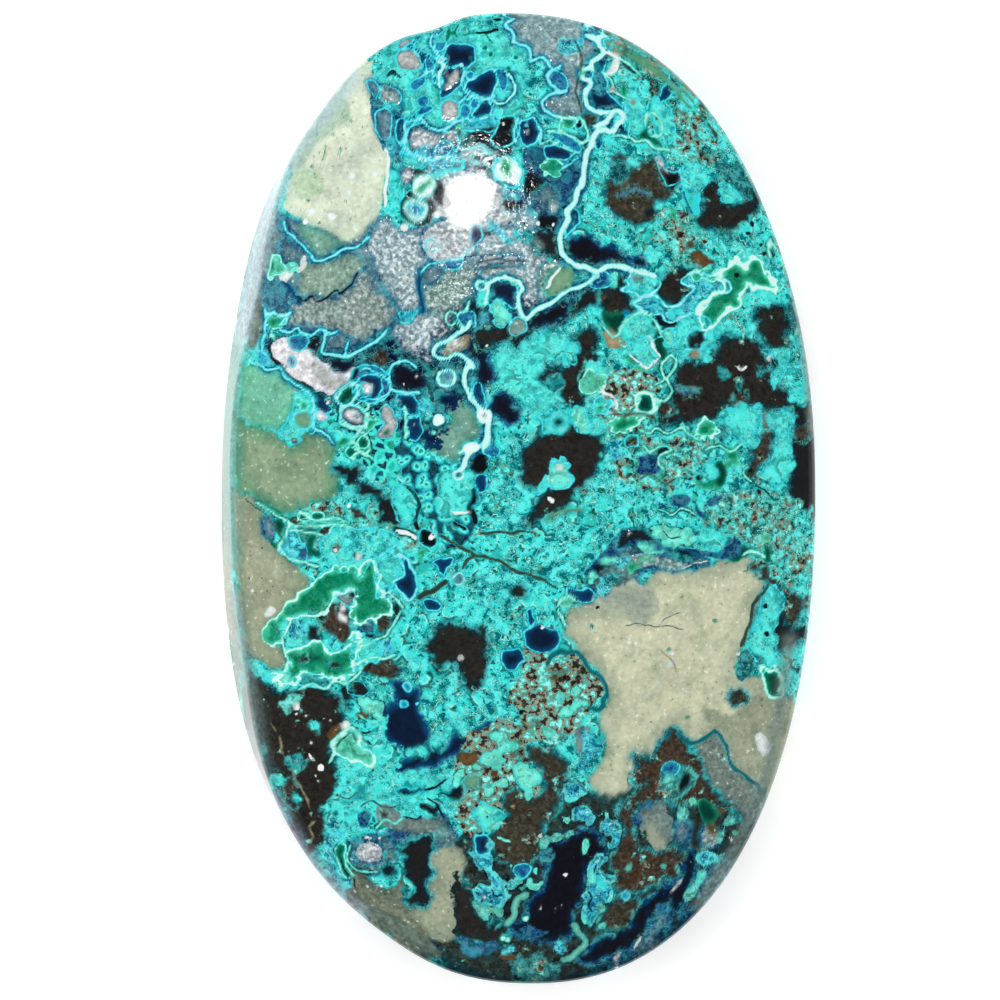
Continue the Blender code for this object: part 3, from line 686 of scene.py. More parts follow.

# %% [markdown]
# ## Chips and cells
#
# Inside the areas lie smaller chips: dark six-sided cells of shattuckite, malachite lenses, bits of quartz. A
# number after a colon is the half width, in pixels, of the bright rim that grew round that chip.

# %% Chips, from the top of the stone down
# The large druzy chip round 470,215 lies under the lamp's bright patch: partly real quartz, partly painted highlight
CHIPS = """
steel 276,212 283,214 290,224 300,238 304,246 296,250 286,240 278,232 275,222
black 646,206 652,208 652,218 646,217
thread 684,170 692,176 700,196 698,215 688,204
emerald 690,192 694,196 694,205 689,202
emerald 668,204 674,206 678,219 670,216
teal 714,166 724,162 734,166 742,176 750,188 756,198 748,200 740,194 734,186 726,182 718,176
turquoise:1 722,185 732,190 738,198 728,203 722,196
rust 690,254 698,250 706,256 716,262 710,266 702,270 694,266
navy 572,208 578,212 580,222 574,226 568,234 566,240
blue 592,278 600,271 608,274 612,280 606,286 598,288 592,286
mint 610,273 618,274 616,282 610,280
turquoise:2 628,280 634,273 645,272 652,275 656,281 657,288 651,293 643,295 634,292 625,291 630,286
stone_grey 630,277 638,274 645,277 643,282 634,282
lagoon:2 636,304 640,300 650,297 658,298 664,306 672,308 680,305 690,296 697,290 694,284 686,283 684,279 692,276
 704,276 712,278 718,275 724,280 727,287 722,292 714,292 708,300 700,309 690,312 680,316 672,321 666,318 662,311
 652,312 642,308
soot 656,282 664,276 670,270 676,266 684,268 694,266 698,270 690,274 684,280 688,286 694,290 690,294 682,296
 679,302 674,306 668,302 660,296 654,290
soot 602,290 612,284 622,278 624,290 628,300 634,310 626,318 624,330 616,334 608,328 604,318 602,304
emerald:3 722,276 730,268 737,261 740,266 745,270 750,264 752,261 758,261 760,266 760,272 768,278 772,286
 766,288 756,284 748,282 742,286 739,292 738,302 736,306 728,306 722,310 718,316 716,322 710,326 704,322 702,314
 706,308 710,300 714,296 722,294 729,290 726,284
emerald:1 696,274 706,270 716,270 718,276 708,278 698,278
turquoise 440,478 448,473 456,467 466,468 474,476 476,486 474,496 469,506 462,514 450,516 440,512 436,502
 438,490
turquoise:1 553,462 563,463 568,474 570,480 562,487 550,486 540,495 535,492 541,484 548,476
turquoise:1 395,490 408,490 416,502 414,520 402,525 396,515
milk:1 394,528 402,530 410,532 418,536 422,540 416,540 408,535 400,534
night:1 420,530 428,530 436,536 437,544 430,548 422,544
teal 444,522 452,521 458,526 454,532 446,530
emerald 414,556 420,553 425,552 421,560
navy 433,561 442,560 454,558 452,564 446,568 444,576 440,572 438,566
navy:2 398,554 404,559 410,566 414,576 416,586 414,594 409,599 403,594 398,588 394,583 398,580 404,578 406,572
 404,564
navy:1 423,601 430,599 438,602 441,606 437,610 428,610
soot 512,592 516,586 522,586 526,590 522,597 516,596
navy 524,632 532,626 540,624 548,628 556,630 560,640 556,650 544,652 532,650 526,642
navy 529,608 533,612 534,622 530,626 528,616
navy 502,650 510,652 520,650 524,660 516,668 508,670 502,662
navy 566,588 574,590 582,592 588,588 594,592 592,600 584,602 576,598 568,596
bottle 726,536 734,540 742,544 750,546 758,548 752,552 744,556 738,562 730,560
pea 762,534 770,535 769,542 762,541
bottle 765,546 772,548 770,562 764,558
chalk 756,736 762,734 768,738 770,746 772,744 770,752 764,756 758,748
peat 731,692 744,692 746,702 732,703
turquoise:1 766,588 772,586 778,588 782,594 783,604 780,612 776,620 774,630 776,640 776,650 780,656 776,664
 768,666 760,662 752,654 750,644 750,634 756,626 762,618 764,606 762,598
peat 784,588 792,592 800,598 804,606 802,616 798,624 790,626 784,620 782,610 784,600
black 777,618 782,614 786,622 792,628 800,626 802,634 796,642 788,648 780,648 776,640 774,630
teal 736,672 738,660 742,652 748,648 756,652 766,660 756,668 748,676 742,682
bottle:2 762,668 768,672 776,672 782,678 782,690 780,696 772,696 768,690 766,680
mint 554,698 558,690 562,692 567,700 560,702
mint 570,688 576,684 582,690 578,694 572,694
mint 572,700 580,698 588,702 584,706 576,704
mint 562,712 570,706 580,706 576,712 568,718 560,716
mint 544,732 550,728 554,732 550,738
stone_grey 575,728 588,724 600,736 598,758 584,762 576,748
lagoon 580,728 586,732 594,730 602,736 606,742 602,750 596,758 590,764 584,770 578,766 580,756 584,748 582,738
turquoise:1 250,662 256,660 264,668 272,674 270,680 262,676 254,672
pearl:1 396,57 400,52 405,51 412,51 417,53 419,58 420,64 418,69 409,69 402,69 398,64
navy 405,50 412,47 420,50 430,55 438,60 436,62 431,61 434,68 433,74 428,76 425,72 421,68 421,60 418,54 412,50
blue 426,58 432,62 433,70 429,72 426,66
blue 437,43 446,43 444,48 440,51 437,49
navy:1.2 447,50 450,45 472,45 475,57 472,62 466,68 460,64 454,68 449,67 442,59
navy 439,70 448,66 462,68 464,76 461,84 455,89 448,94 442,98 440,94 444,88 444,80 441,75
pearl 442,70 445,71 448,76 452,75 455,70 459,72 460,78 457,83 452,86 447,89 445,87 447,83 447,78 443,73
blue 434,77 440,77 441,83 436,84 433,81
teal 469,68 473,65 477,68 474,71
blue 467,73 472,72 473,76 468,77
navy:1.4 476,78 482,74 492,70 494,75 497,80 493,90 491,96 486,98 480,97 466,85 470,80
blue:1 494,71 503,71 507,82 502,90 499,82
blue 411,84 417,79 424,78 425,82 420,87 414,89
pearl:1 442,104 445,101 449,100 454,101 457,104 458,112 455,118 451,121 447,120 443,117 441,112
blue:1 463,105 468,107 469,112 466,117 463,117 460,112
blue:1 471,102 475,99 479,100 477,105 474,107 471,105
navy:1.2 474,112 482,103 487,101 493,109 490,114 485,115 480,119 477,118 473,115
lagoon:1 478,120 486,116 496,118 498,126 492,132 482,130 470,130 462,126 468,120
blue 418,98 425,96 428,101 424,106 419,104
blue 416,113 424,108 432,108 428,112 420,114
navy 413,116 417,116 416,119 412,119
night 383,77 388,72 393,70 397,73 402,77 400,79 396,76 392,74 388,76 385,79
navy 408,128 420,124 432,129 446,132 456,134 458,146 452,156 436,158 420,155 409,149 407,138
druzy 410,134 416,130 424,131 432,133 440,137 438,144 430,148 420,149 412,146
blue:0.8 418,150 426,146 434,149 444,142 452,146 448,154 436,156 424,155
druzy 444,134 452,130 458,133 456,140 448,140
black 462,142 470,132 482,128 496,128 500,136 512,146 508,158 498,158 488,150 476,148 466,150
night:1.2 500,118 512,117 514,122 512,142 506,146 498,146 492,140 496,134 499,126
navy:1.2 520,122 528,120 533,118 539,130 537,138 528,146 522,142 520,134
silver 460,148 470,142 484,146 498,152 496,160 486,170 478,180 468,176 470,164 462,158
black:0.8 470,158 482,154 498,158 496,164 482,164
black 474,168 484,166 490,174 484,182 476,178
turquoise:0.8 424,162 436,158 448,160 462,160 464,168 456,174 444,178 432,176 426,170
navy 450,162 460,162 462,168 454,170
black 404,166 416,162 430,166 432,174 424,180 412,184 404,178
druzy 400,172 408,168 412,176 406,184
turquoise:0.8 403,154 416,158 424,164 414,166 404,164
ice:1 498,160 505,157 514,159 520,166 523,175 520,183 513,187 505,185 499,181 494,175 494,167
emerald 501,164 507,162 513,165 512,171 511,176 507,178 503,174 501,169
emerald 456,130 460,124 464,129
navy 398,120 405,120 404,136 401,142 396,136
navy 592,30 600,32 601,40 608,50 610,58 604,64 602,74 608,84 606,90 612,98 618,104 628,110 628,116 618,112
 608,110 596,109 590,104 588,96 592,88 592,82 594,74 594,62 602,56 605,50 600,42 594,38 590,33
stain 596,66 603,70 604,80 608,92 600,96 594,90
navy 616,118 622,116 629,120 629,130 626,135 614,134 610,130 615,126
navy 598,132 604,132 602,142 598,148 594,144
water 603,136 612,134 618,136 622,146 612,151 602,148
turquoise:1 630,101 640,100 646,108 645,120 641,130 636,134 630,128 627,118 629,108
water 628,78 640,79 650,86 646,97 634,98 626,91
turquoise:1 650,101 660,100 668,106 674,124 670,142 662,138 654,128 650,114
water 680,88 690,96 702,110 692,113 680,104
tan 610,46 616,48 626,52 632,56 624,57 614,54
tan 644,66 654,68 664,74 658,77 646,72
olive 604,38 608,40 608,45 603,43
night 620,62 630,65 638,71 634,74 626,69
night 592,50 597,47 600,51 597,53
bottle 614,46 622,50 634,56 646,64 640,64 626,57
navy 662,88 668,84 678,86 680,90 672,92 668,98 660,102 657,98 662,94
blue 674,86 682,88 678,91
bottle 644,102 650,101 651,110 647,121 647,130 650,134 660,142 664,147 652,143 640,138 634,135 641,132 645,122
 646,110
emerald 621,84 627,88 624,95 620,91
emerald:1 560,119 572,119 573,127 561,128
night:1 576,120 581,120 581,127 576,127
bark 584,115 590,114 597,118 592,125 586,123
lagoon:0.8 560,41 570,39 582,39 581,48 576,53 560,53
blue:1 549,72 556,71 562,74 567,82 565,90 560,90 554,84 549,79
chalk 578,24 588,25 588,30 579,29
steel 549,17 562,20 566,25 552,24
peat 612,158 622,156 640,164 652,158 660,162 664,180 672,190 668,198 656,200 652,206 655,214 650,222 638,224
 626,220 614,214 608,208 604,200 605,190 610,180 612,170
teal 612,161 624,160 632,168 626,180 616,184 610,176
water 631,155 640,157 640,166 631,167
druzy:0.8 655,158 662,158 664,168 672,174 688,170 690,176 678,182 668,186 662,174
night 660,166 668,172 676,172 686,174 680,180 672,190 664,180
water:1 684,166 696,164 706,170 708,180 702,190 692,196 684,186
chalk 612,54 618,54 620,66 614,72 606,74 612,64
sky 256,352 262,350 270,352 271,362 264,368 257,364 250,362
pea:1.2 272,255 279,260 285,270 276,275 268,276 272,268
bottle 270,262 274,262 273,270 270,270
chalk 280,276 288,267 293,266 292,274 288,281 283,282 278,277
mint 286,265 295,263 296,270 290,272
chalk 303,256 308,262 304,270 298,272 299,264
emerald:1 270,316 278,318 285,316 281,326 272,326 269,321
snow 281,337 290,337 292,346 298,351 308,349 315,356 322,361 328,363 332,371 342,373 350,367 356,366 354,374
 346,383 338,391 332,397 324,394 314,388 306,384 298,381 290,378 285,371 281,365 274,362 270,355 269,347 273,342
pearl 312,362 322,364 330,376 344,377 345,382 336,391 322,384 312,372
blue:0.4 288,358 293,357 296,361 292,366 288,363
ink 304,337 314,334 323,338 322,352 317,356 310,350 304,348
blue 290,337 304,337 308,342 303,349 295,350 290,344
ink 329,358 350,359 350,366 346,372 337,373 331,368
bark 375,350 384,350 388,358 384,366 376,366 372,358
blue 352,372 362,366 374,366 388,376 389,392 380,400 366,402 356,396 352,386
navy 359,377 368,374 379,378 382,388 377,397 366,398 358,391
snow:0.6 360,383 372,384 371,394 365,393
bottle:1.6 350,385 357,392 352,401 345,405 340,402 341,395
night:2 346,408 356,408 364,416 365,425 356,426 348,423 342,417
snow 346,410 356,410 363,418 362,424 352,422 344,417
slate 353,413 358,414 360,420 354,419
navy 313,396 322,396 328,402 331,410 326,412 320,408 314,404
snow:0.8 316,411 322,410 329,414 328,419 318,421 316,416
pearl:1 380,408 386,403 392,412 397,426 393,436 384,438 376,436 381,429 386,424 380,417
bottle 385,430 391,429 390,434 384,435
turquoise:0.8 298,396 308,393 313,400 314,420 312,430 303,432 299,442 290,442 278,434 284,424 292,412
emerald:1 299,401 306,401 307,408 300,408
olive:1.2 297,413 309,413 309,427 299,427 294,420
turquoise 326,430 336,426 350,434 357,438 350,446 340,442 334,438
emerald:0.8 371,419 375,424 371,429 367,424
bottle:0.8 364,437 369,442 366,448 360,446 359,440
bottle:0.8 351,447 357,453 352,459 346,453
emerald 338,440 348,440 346,446 338,448
ink 391,368 398,364 410,366 422,374 428,384 420,390 396,390 392,382
navy 396,396 412,394 418,402 418,416 410,414 396,406
lagoon 392,400 402,408 402,420 394,416
navy 408,418 418,416 422,430 416,440 410,438
lagoon 420,398 430,402 432,414 424,420 418,410
ink 470,336 480,332 484,342 486,352 490,362 494,374 490,382 482,385 476,378 474,370 479,364 473,358 468,350
navy:0.4 474,383 480,385 483,396 487,405 479,403 473,394
ink 490,404 496,396 506,395 514,406 518,414 513,424 507,424 502,418 492,413
blue 488,444 496,446 498,453 491,457 484,452
tan 440,352 446,348 456,340 464,334 470,334 470,342 464,350 452,354 444,355
rose 448,342 458,338 464,342 456,350 448,350
slate 440,372 452,364 458,372 460,384 450,392 440,390 435,382
night 470,466 478,456 484,454 488,462 486,470 478,474
navy 478,474 486,474 486,490 480,492 476,482
navy 472,492 476,490 476,502 470,508
druzy 430,186 440,178 452,174 470,172 490,178 502,190 504,206 514,218 506,226 492,222 482,230 476,242 474,256
 458,260 440,262 428,256 422,244 424,232 436,224 450,220 440,212 432,206 426,196
milk 436,210 443,212 442,217 434,216
milk 402,224 408,227 406,232 400,229
rose 444,209 452,212 450,217 443,216
black 534,236 556,234 560,246 562,258 552,258 544,250 534,246
navy 473,224 480,226 482,238 474,246 470,238
night 480,231 492,231 492,235 480,236
blue 442,263 452,262 462,262 460,268 446,269
slate 421,272 430,265 442,266 440,276 430,284 422,284
navy 399,312 412,314 418,312 412,320 402,322
sky 404,316 414,316 414,322 404,322
navy 488,284 494,280 506,280 516,286 518,300 514,308 500,300 488,304
ink 470,302 486,300 494,310 494,330 484,336 470,330 456,318 466,312
blue 458,316 472,312 474,326 466,326
mint:1 494,303 500,301 503,308 509,314 508,321 500,327 493,323 496,316 491,309
sky 480,314 488,314 488,322 480,323
turquoise 474,292 488,288 490,298 484,307 478,304
ink 522,322 534,312 548,308 564,300 572,304 566,316 548,324 530,328
soot 476,330 494,328 508,326 512,336 500,344 478,344
pearl:0.8 511,320 518,316 525,322 526,329 518,336 511,334
lichen 510,322 524,322 522,332 512,332
olive 552,274 566,266 574,270 572,286 560,294 550,296 546,290
chalk 265,616 267,608 272,606 275,611 270,616
slate 262,520 270,516 276,526 272,540 264,536
bottle 276,518 284,522 284,532 278,534 274,526
bottle 268,538 278,544 276,549 270,545
lagoon:1 286,522 296,532 300,544 306,548 306,560 296,562 284,554 280,548 286,536
steel 298,550 310,546 314,556 306,561 299,558
bottle 308,536 316,537 314,548 322,552 318,558 308,552
bottle:1 300,514 308,514 309,519 300,519
bottle:1 314,514 322,514 323,519 314,519
bark 290,520 300,518 300,525 291,526
bark:0.8 320,527 332,527 330,534 321,535
emerald:1 331,528 340,530 338,536 330,535
turquoise:1 324,536 340,532 362,530 384,534 396,544 384,552 370,560 364,572 358,576 352,570 334,570 328,560
 322,552
water:1 348,532 372,528 394,534 392,546 376,556 362,562 350,556 344,544
bark 333,546 340,544 341,549 336,552
milk:0.6 334,547 338,548 338,552 334,551
night 352,552 356,552 355,560 351,560
chalk 356,553 361,554 360,560 356,560
emerald:2 276,641 268,641 265,634 267,627 274,621 279,615 285,609 291,604 298,600 304,594 310,591 313,585
 319,579 325,576 331,572 339,570 349,570 355,572 358,577 362,576 364,570 366,564 372,563 375,568 377,581 376,589
 380,596 386,600 391,606 388,612 380,615 374,619 368,617 363,622 357,619 352,612 354,607 358,602 357,594 352,589
 346,589 340,592 333,593 329,597 326,604 322,610 316,614 306,614 298,615 290,617 284,621 281,629 280,638
turquoise 284,622 290,618 300,616 312,615 318,620 314,630 318,640 312,646 300,648 290,646 284,638 282,630
lagoon 290,622 304,620 306,630 296,638 288,634
black 308,627 316,627 319,634 316,642 309,641 306,634
bark 324,606 332,602 342,606 350,612 350,624 349,634 344,642 336,644 330,632 322,624 316,618
black 340,608 349,612 346,617 340,614
black 320,614 326,616 322,620 316,618
stone_grey:0.8 336,598 344,592 352,590 357,596 356,603 348,606 342,602
black 350,593 356,594 355,599 350,598
milk 342,604 346,607 343,611 340,608
milk 338,613 346,616 346,621 340,619
lagoon 332,634 340,642 348,644 348,652 338,653 330,646
emerald:2.2 289,652 296,649 307,649 314,644 320,641 324,647 328,653 335,656 343,653 349,648 351,640 354,633
 358,642 354,651 353,661 350,669 344,674 336,677 328,675 320,671 312,669 304,671 298,675 292,681 284,682 279,679
 286,673 291,665 290,657
bottle 296,656 304,655 312,653 320,656 323,661 316,661 308,663 300,664 295,661
bottle 328,660 336,660 344,665 337,670 328,667
bark 300,658 308,657 308,661 301,661
bark 331,662 338,663 336,667 331,665
mint:0.8 272,672 284,672 290,680 286,688 278,688 272,682
teal:1 300,675 312,673 322,676 330,684 322,688 310,686 298,684
turquoise:1 354,640 360,636 372,642 380,648 376,660 360,664 354,668 352,658
turquoise:1 378,560 390,556 398,566 394,580 388,588 380,596 376,588 377,574
steel:0.8 380,588 388,586 394,594 388,598 382,596
black 358,626 366,632 374,632 370,639 360,637
slate 362,624 370,622 372,630 364,630
bark 376,620 388,616 392,624 386,632 376,630
black 394,606 399,608 398,618 393,618
sky 380,640 394,640 396,652 384,656
bark 362,666 376,662 392,662 400,668 392,678 374,674 364,670
bottle 600,310 612,314 626,311 627,322 620,333 614,334 607,326
turquoise:0.8 622,330 628,318 640,313 652,318 660,328 656,340 644,346 630,344
ink 646,312 660,315 672,321 682,320 680,329 668,332 656,328
bottle 656,330 664,328 668,332 666,344 668,354 664,362 657,356 652,344
mint:1 664,333 670,331 674,337 672,346 666,345
turquoise:1 632,346 646,338 652,342 657,354 653,362 646,366 636,360 630,352
night 630,356 637,357 636,362 630,361
emerald 618,350 626,354 636,364 648,368 650,372 640,370 626,362
tan 602,332 612,330 624,342 622,348 608,346
turquoise:0.8 674,336 680,322 694,318 710,322 716,334 712,346 700,354 684,354 676,346
black:1.4 685,343 688,335 697,330 705,334 706,340 701,347 692,350 685,348
tan 690,351 700,351 699,358 691,358
turquoise 704,350 712,350 711,360 704,360
turquoise 589,363 604,364 606,374 596,374 588,369
black 584,370 589,372 588,380 582,380
pea:1.2 590,370 598,376 605,378 602,387 590,391 582,388 584,378
bottle:2.4 638,397 650,396 652,410 640,410
turquoise:1.2 595,402 604,399 611,404 606,411 597,411
emerald 600,403 605,404 604,408 599,408
emerald:1.4 610,423 620,418 632,418 641,420 632,427 618,431
mint:1 571,412 578,407 584,412 589,424 585,432 577,428
turquoise 589,420 602,418 606,428 598,436 588,430
turquoise:1 542,416 552,411 562,416 564,426 554,432 544,428
bark:0.8 548,419 558,418 559,426 549,427
mint:1 556,462 564,459 568,470 571,480 564,487 552,485 545,480 551,472
chalk 556,464 562,465 562,470 556,469
bark:1 627,438 636,437 637,446 629,447
indigo 640,456 658,455 660,470 648,475 635,473 639,464
night 658,450 668,447 667,454 660,458
lagoon 608,442 622,440 624,456 612,460 606,452
emerald:1.4 699,425 706,421 713,427 714,433 706,435 698,433
teal 714,432 720,424 730,422 731,434 722,443 716,440
turquoise:0.6 722,412 730,409 744,407 752,408 757,402 763,406 760,416 756,426 755,436 758,445 749,448 741,442
 734,438 730,430 726,424
sand 762,414 770,416 770,426 763,428
turquoise:0.6 769,418 778,411 790,413 794,420 789,429 791,440 793,456 795,466 787,475 780,485 769,482 763,475
 771,462 776,448 778,434 772,428
emerald 696,480 712,472 718,486 706,490
emerald 728,450 737,447 739,462 730,467
bottle 714,464 722,461 728,470 727,480 721,488 713,483 718,474
turquoise:0.6 703,468 712,464 718,474 712,481 704,478
indigo 672,496 684,494 692,499 688,506 678,507 670,502
indigo 706,500 714,496 723,498 716,504 708,506
indigo 693,500 698,506 702,512 708,518 701,519 696,512
indigo 656,499 664,504 669,509 662,510
teal 718,366 726,366 729,376 724,381 718,376
fog 674,388 686,390 698,391 690,395 678,393
teal 737,378 742,380 740,391 736,388
bark 736,396 746,394 746,402 737,403
bark 656,402 672,404 676,412 660,414
turquoise:0.6 774,348 789,350 787,362 782,372 779,382 774,389 771,380 775,366 772,356
chalk 767,356 771,355 770,361 767,361
night 771,357 778,360 778,367 772,367
turquoise:0.6 796,386 800,392 807,393 807,405 800,404 791,400 794,394
teal 757,364 764,366 764,376 758,377
sky 797,362 800,362 801,370 798,370
bark 796,430 806,428 806,440 798,440
turquoise:0.8 566,350 574,344 574,360 566,366
teal 548,376 560,374 566,386 556,392 548,388
turquoise 250,658 256,660 264,668 272,674 270,680 262,676 254,670
turquoise 309,722 316,718 320,724 318,730 314,731 311,727
teal 339,706 344,700 350,704 354,710 350,714 340,713
black:0.8 350,684 360,682 368,687 366,694 356,697 350,692
black 342,688 349,686 351,698 343,698
mint 359,698 372,700 382,704 384,712 377,718 366,711 360,706
rust 334,726 342,723 341,731 337,738 328,739 326,734
rust 356,714 364,712 371,716 366,720 358,720
bark 282,783 292,780 297,788 290,793 283,791
pea:2.2 336,749 343,741 350,735 356,742 361,749 371,756 372,764 362,762 352,760 343,756
chalk 343,722 349,722 349,728 343,728
milk 317,768 321,764 324,767 326,772 322,771 318,772
milk 309,752 312,753 315,760 313,762 310,757
teal 284,757 298,754 306,764 300,772 288,770
turquoise 274,776 282,774 287,780 284,786 276,786
turquoise 292,794 297,793 298,799 293,800
black 286,799 294,798 294,806 288,806
indigo 358,814 366,811 371,815 368,825 360,827
navy 394,791 404,787 412,790 420,788 424,791 414,794 404,795
stone_grey 376,808 388,804 400,812 402,824 388,830 376,822
bark 382,812 388,812 388,818 382,818
lagoon 324,842 334,846 337,858 340,868 346,876 351,884 349,890 340,885 331,873 326,860
bottle:1 338,846 344,846 343,858 346,868 352,876 346,878 340,868 337,856
milk 364,836 372,838 371,841 364,839
black 384,867 393,866 394,875 385,876
stone_grey 392,820 420,818 440,820 440,832 416,834 394,830
indigo 390,834 404,831 414,833 404,838 392,838
black 399,848 410,842 420,838 430,836 432,846 430,856 428,864 432,872 428,879 424,884 425,892 431,897 428,902
 424,906 412,906 407,900 413,893 411,883 406,877 405,866 404,856
teal 402,886 410,888 410,898 404,898
lagoon 328,816 338,822 344,834 336,842 328,838
celadon 722,826 726,818 732,814 738,818 734,824 728,826
chalk 729,836 733,838 731,843
reef 696,858 700,854 708,852 716,854 725,852 722,858 712,862 704,864 700,862
celadon 684,899 687,892 692,886 696,878 700,871 706,870 704,880 699,888 693,896 688,901
fog 703,882 711,868 720,861 727,868 717,884 707,894 701,899
fog 656,912 664,910 668,918 664,927 658,935 652,942 644,950 636,957 630,960 634,950 641,940 648,932 654,922
indigo 656,906 661,903 666,907 667,913 657,913
slate 677,925 682,917 688,911 692,909 687,918 680,926
reef 468,852 474,850 480,855 488,851 494,856 494,865 489,871 482,868 474,862
reef 488,868 495,872 500,880 509,884 500,890 493,885 488,877
reef 474,887 482,884 492,887 500,884 508,890 508,902 500,908 490,906 480,904 474,898
celadon 474,902 484,906 494,907 504,908 503,918 496,917 491,911 488,920 481,920 476,912
celadon 484,842 490,838 494,844 492,850 486,849
reef 507,878 514,882 521,879 526,882 518,887 508,889
blue 515,869 523,864 531,867 529,874 522,878 516,875
mint 509,864 513,865 514,871 510,868
mint 515,876 521,877 524,883 518,882
mint 528,882 532,877 535,884 542,882 541,890 533,892 528,888
mint 533,871 537,869 536,876
celadon 519,888 525,884 528,888 521,891
celadon 540,840 546,833 549,840 546,848 540,846
celadon 551,836 557,832 564,834 572,829 574,834 566,838 558,840 552,840
mint 562,818 567,815 570,820 566,824
reef 569,815 573,808 582,807 590,810 595,818 592,827 587,828 583,822 576,822 571,820
reef 562,790 570,783 580,784 584,792 578,799 568,800
mint 602,815 606,812 607,817
reef 600,827 605,821 613,819 618,818 621,824 619,832 620,840 616,846 611,850 606,848 608,843 612,840 610,835
 603,833
reef 602,853 607,858 603,864 600,870 604,875 612,876 617,874 612,882 614,890 610,896 604,901 598,904 598,912
 594,920 588,924 583,924 580,916 583,906 584,896 584,886 588,880 585,872 590,864 597,857
mint 587,872 594,873 597,881 592,886
mint 581,915 587,916 588,922 583,923
celadon 600,905 604,907 602,912 598,910
celadon 597,924 604,921 605,926 599,928
mint 582,844 587,840 589,846 589,853 583,854
lagoon 556,942 561,944 568,947 566,951 556,951
indigo 521,928 530,925 540,930 547,933 534,938 523,935
deep 541,853 551,849 554,858 546,866 540,862
tarn 508,968 511,961 520,956 526,960 532,953 540,954 546,962 556,960 566,962 560,969 548,973 536,977 524,977
 513,974
lagoon 502,951 510,946 516,950 512,956 504,956
rust 500,957 510,953 516,957 510,962
steel 460,936 468,938 472,945 480,943 492,941 501,944 496,951 484,955 474,959 466,954 460,948
tan 510,806 515,804 517,808 512,809
chalk 537,835 542,833 541,837
turquoise:0.6 474,812 482,806 492,806 500,812 502,820 496,828 486,830 478,826 474,818
mint 478,808 486,806 492,812 486,818 480,815
mint 486,822 494,820 498,826 490,829
navy 475,836 488,834 491,852 478,855
rust 458,756 464,750 470,752 476,750 480,758 474,764 466,766 460,762
turquoise 410,748 416,750 420,747 426,752 424,757 414,757 408,754
turquoise 430,738 436,736 442,738 445,744 440,748 436,749 430,744
turquoise 444,726 450,724 453,731 447,735
turquoise 456,724 464,722 468,728 464,735 458,733
turquoise 405,772 416,771 419,779 412,785 406,781
turquoise 421,776 430,771 440,776 438,785 430,790 422,786
turquoise 441,781 446,780 449,786 443,788
mint 453,776 459,770 465,774 461,781 456,784
black 450,793 456,786 463,788 460,796 452,798
black 418,806 426,802 438,806 434,812 424,810
mint:0.5 482,756 490,752 500,754 504,762 498,767 488,766 480,762
mint 491,736 500,733 508,738 512,746 504,750 495,744
mint 512,740 518,742 519,749 513,748
mint:0.5 518,764 526,762 534,768 541,777 536,785 528,788 520,785 515,775
mint 526,790 532,788 534,795 528,798
mint 473,764 479,763 483,769 476,771
mint 484,786 492,784 494,791 486,795
mint 498,780 506,776 508,784 500,788
rust 490,772 496,770 498,776 492,778
olive 466,780 474,776 480,780 476,786 468,787
haze 594,600 610,588 630,582 648,586 658,600 654,616 644,627 632,622 618,612 604,608
pea 560,600 566,597 572,600 570,606 562,606
chalk 668,664 672,662 674,666 669,668
black 334,466 343,465 350,470 356,466 361,472 355,478 361,485 352,489 346,482 348,476 340,474
black 356,486 364,483 372,488 380,490 387,496 380,501 374,496 366,497 360,492
black 380,500 390,500 399,506 396,514 403,519 394,525 386,520 378,523 382,514 377,508
turquoise 344,491 350,487 356,493 352,500 346,498
turquoise 362,499 369,502 364,511 357,506
turquoise 378,486 386,484 390,492 384,495
turquoise 396,492 406,487 413,494 417,501 414,511 418,519 410,525 402,520 399,512 402,504
milk 346,505 350,504 351,508 347,509
bark 352,510 360,512 366,518 358,520
stone_grey 642,810 647,803 653,807 659,800 667,805 666,814 673,819 670,829 677,835 672,843 664,848 657,852
 651,845 645,841 648,834 640,828 644,820 638,815
oat 645,827 651,824 657,833 664,841 665,848 656,849 648,842
indigo 632,817 639,813 642,821 636,825
indigo 642,807 646,801 652,800 651,808
tarn 661,772 666,764 672,762 680,764 688,766 694,770 698,777 695,782 690,790 684,797 670,799 664,796 660,788
 664,780
blue 663,766 672,762 680,767 674,774 665,773
celadon 686,766 692,768 698,776 694,780 689,774
night 682,776 690,770 690,782 682,792 678,788
celadon 666,778 674,776 672,784 665,784
druzy 357,848 365,842 375,843 382,849 380,860 371,862 361,861 356,855
milk 366,846 371,845 370,849
rose 362,851 369,851 368,858
sand 352,897 366,903 380,909 396,917 410,927 424,936 436,947 442,956 428,951 410,942 390,929 370,914
celadon 278,703 286,699 293,693 303,697 298,705 301,711 292,711 288,716 282,709
chalk 293,703 300,704 299,710 294,709
ice 285,703 289,700 290,705
night 289,707 293,706 292,711
indigo 584,576 588,568 596,560 608,547 615,537 624,530 640,527 649,534 660,543 671,546 684,547 702,550 719,551
 726,540 735,537 742,544 739,555 728,559 712,558 694,556 676,554 660,551 648,548 636,545 627,546 616,555 605,565
 594,579
black 619,541 625,532 640,529 649,536 654,542 640,541 630,542 621,547
mint 652,528 660,525 672,527 684,529 692,533 695,540 690,546 682,544 676,548 668,545 660,541 654,536
turquoise 697,530 706,526 716,528 722,534 720,543 712,548 704,545 698,540
mint 640,546 648,545 656,549 664,552 658,555 648,552
lagoon 600,580 606,574 614,574 612,584 604,588
mint 588,576 594,571 597,577 591,582
celadon 606,560 614,556 618,560 610,566
indigo 525,146 534,150 548,146 566,144 580,152 585,164 583,178 573,193 565,205 562,220 562,232 556,238 544,233
 532,230 520,224 514,210 520,196 526,186 528,170 522,158
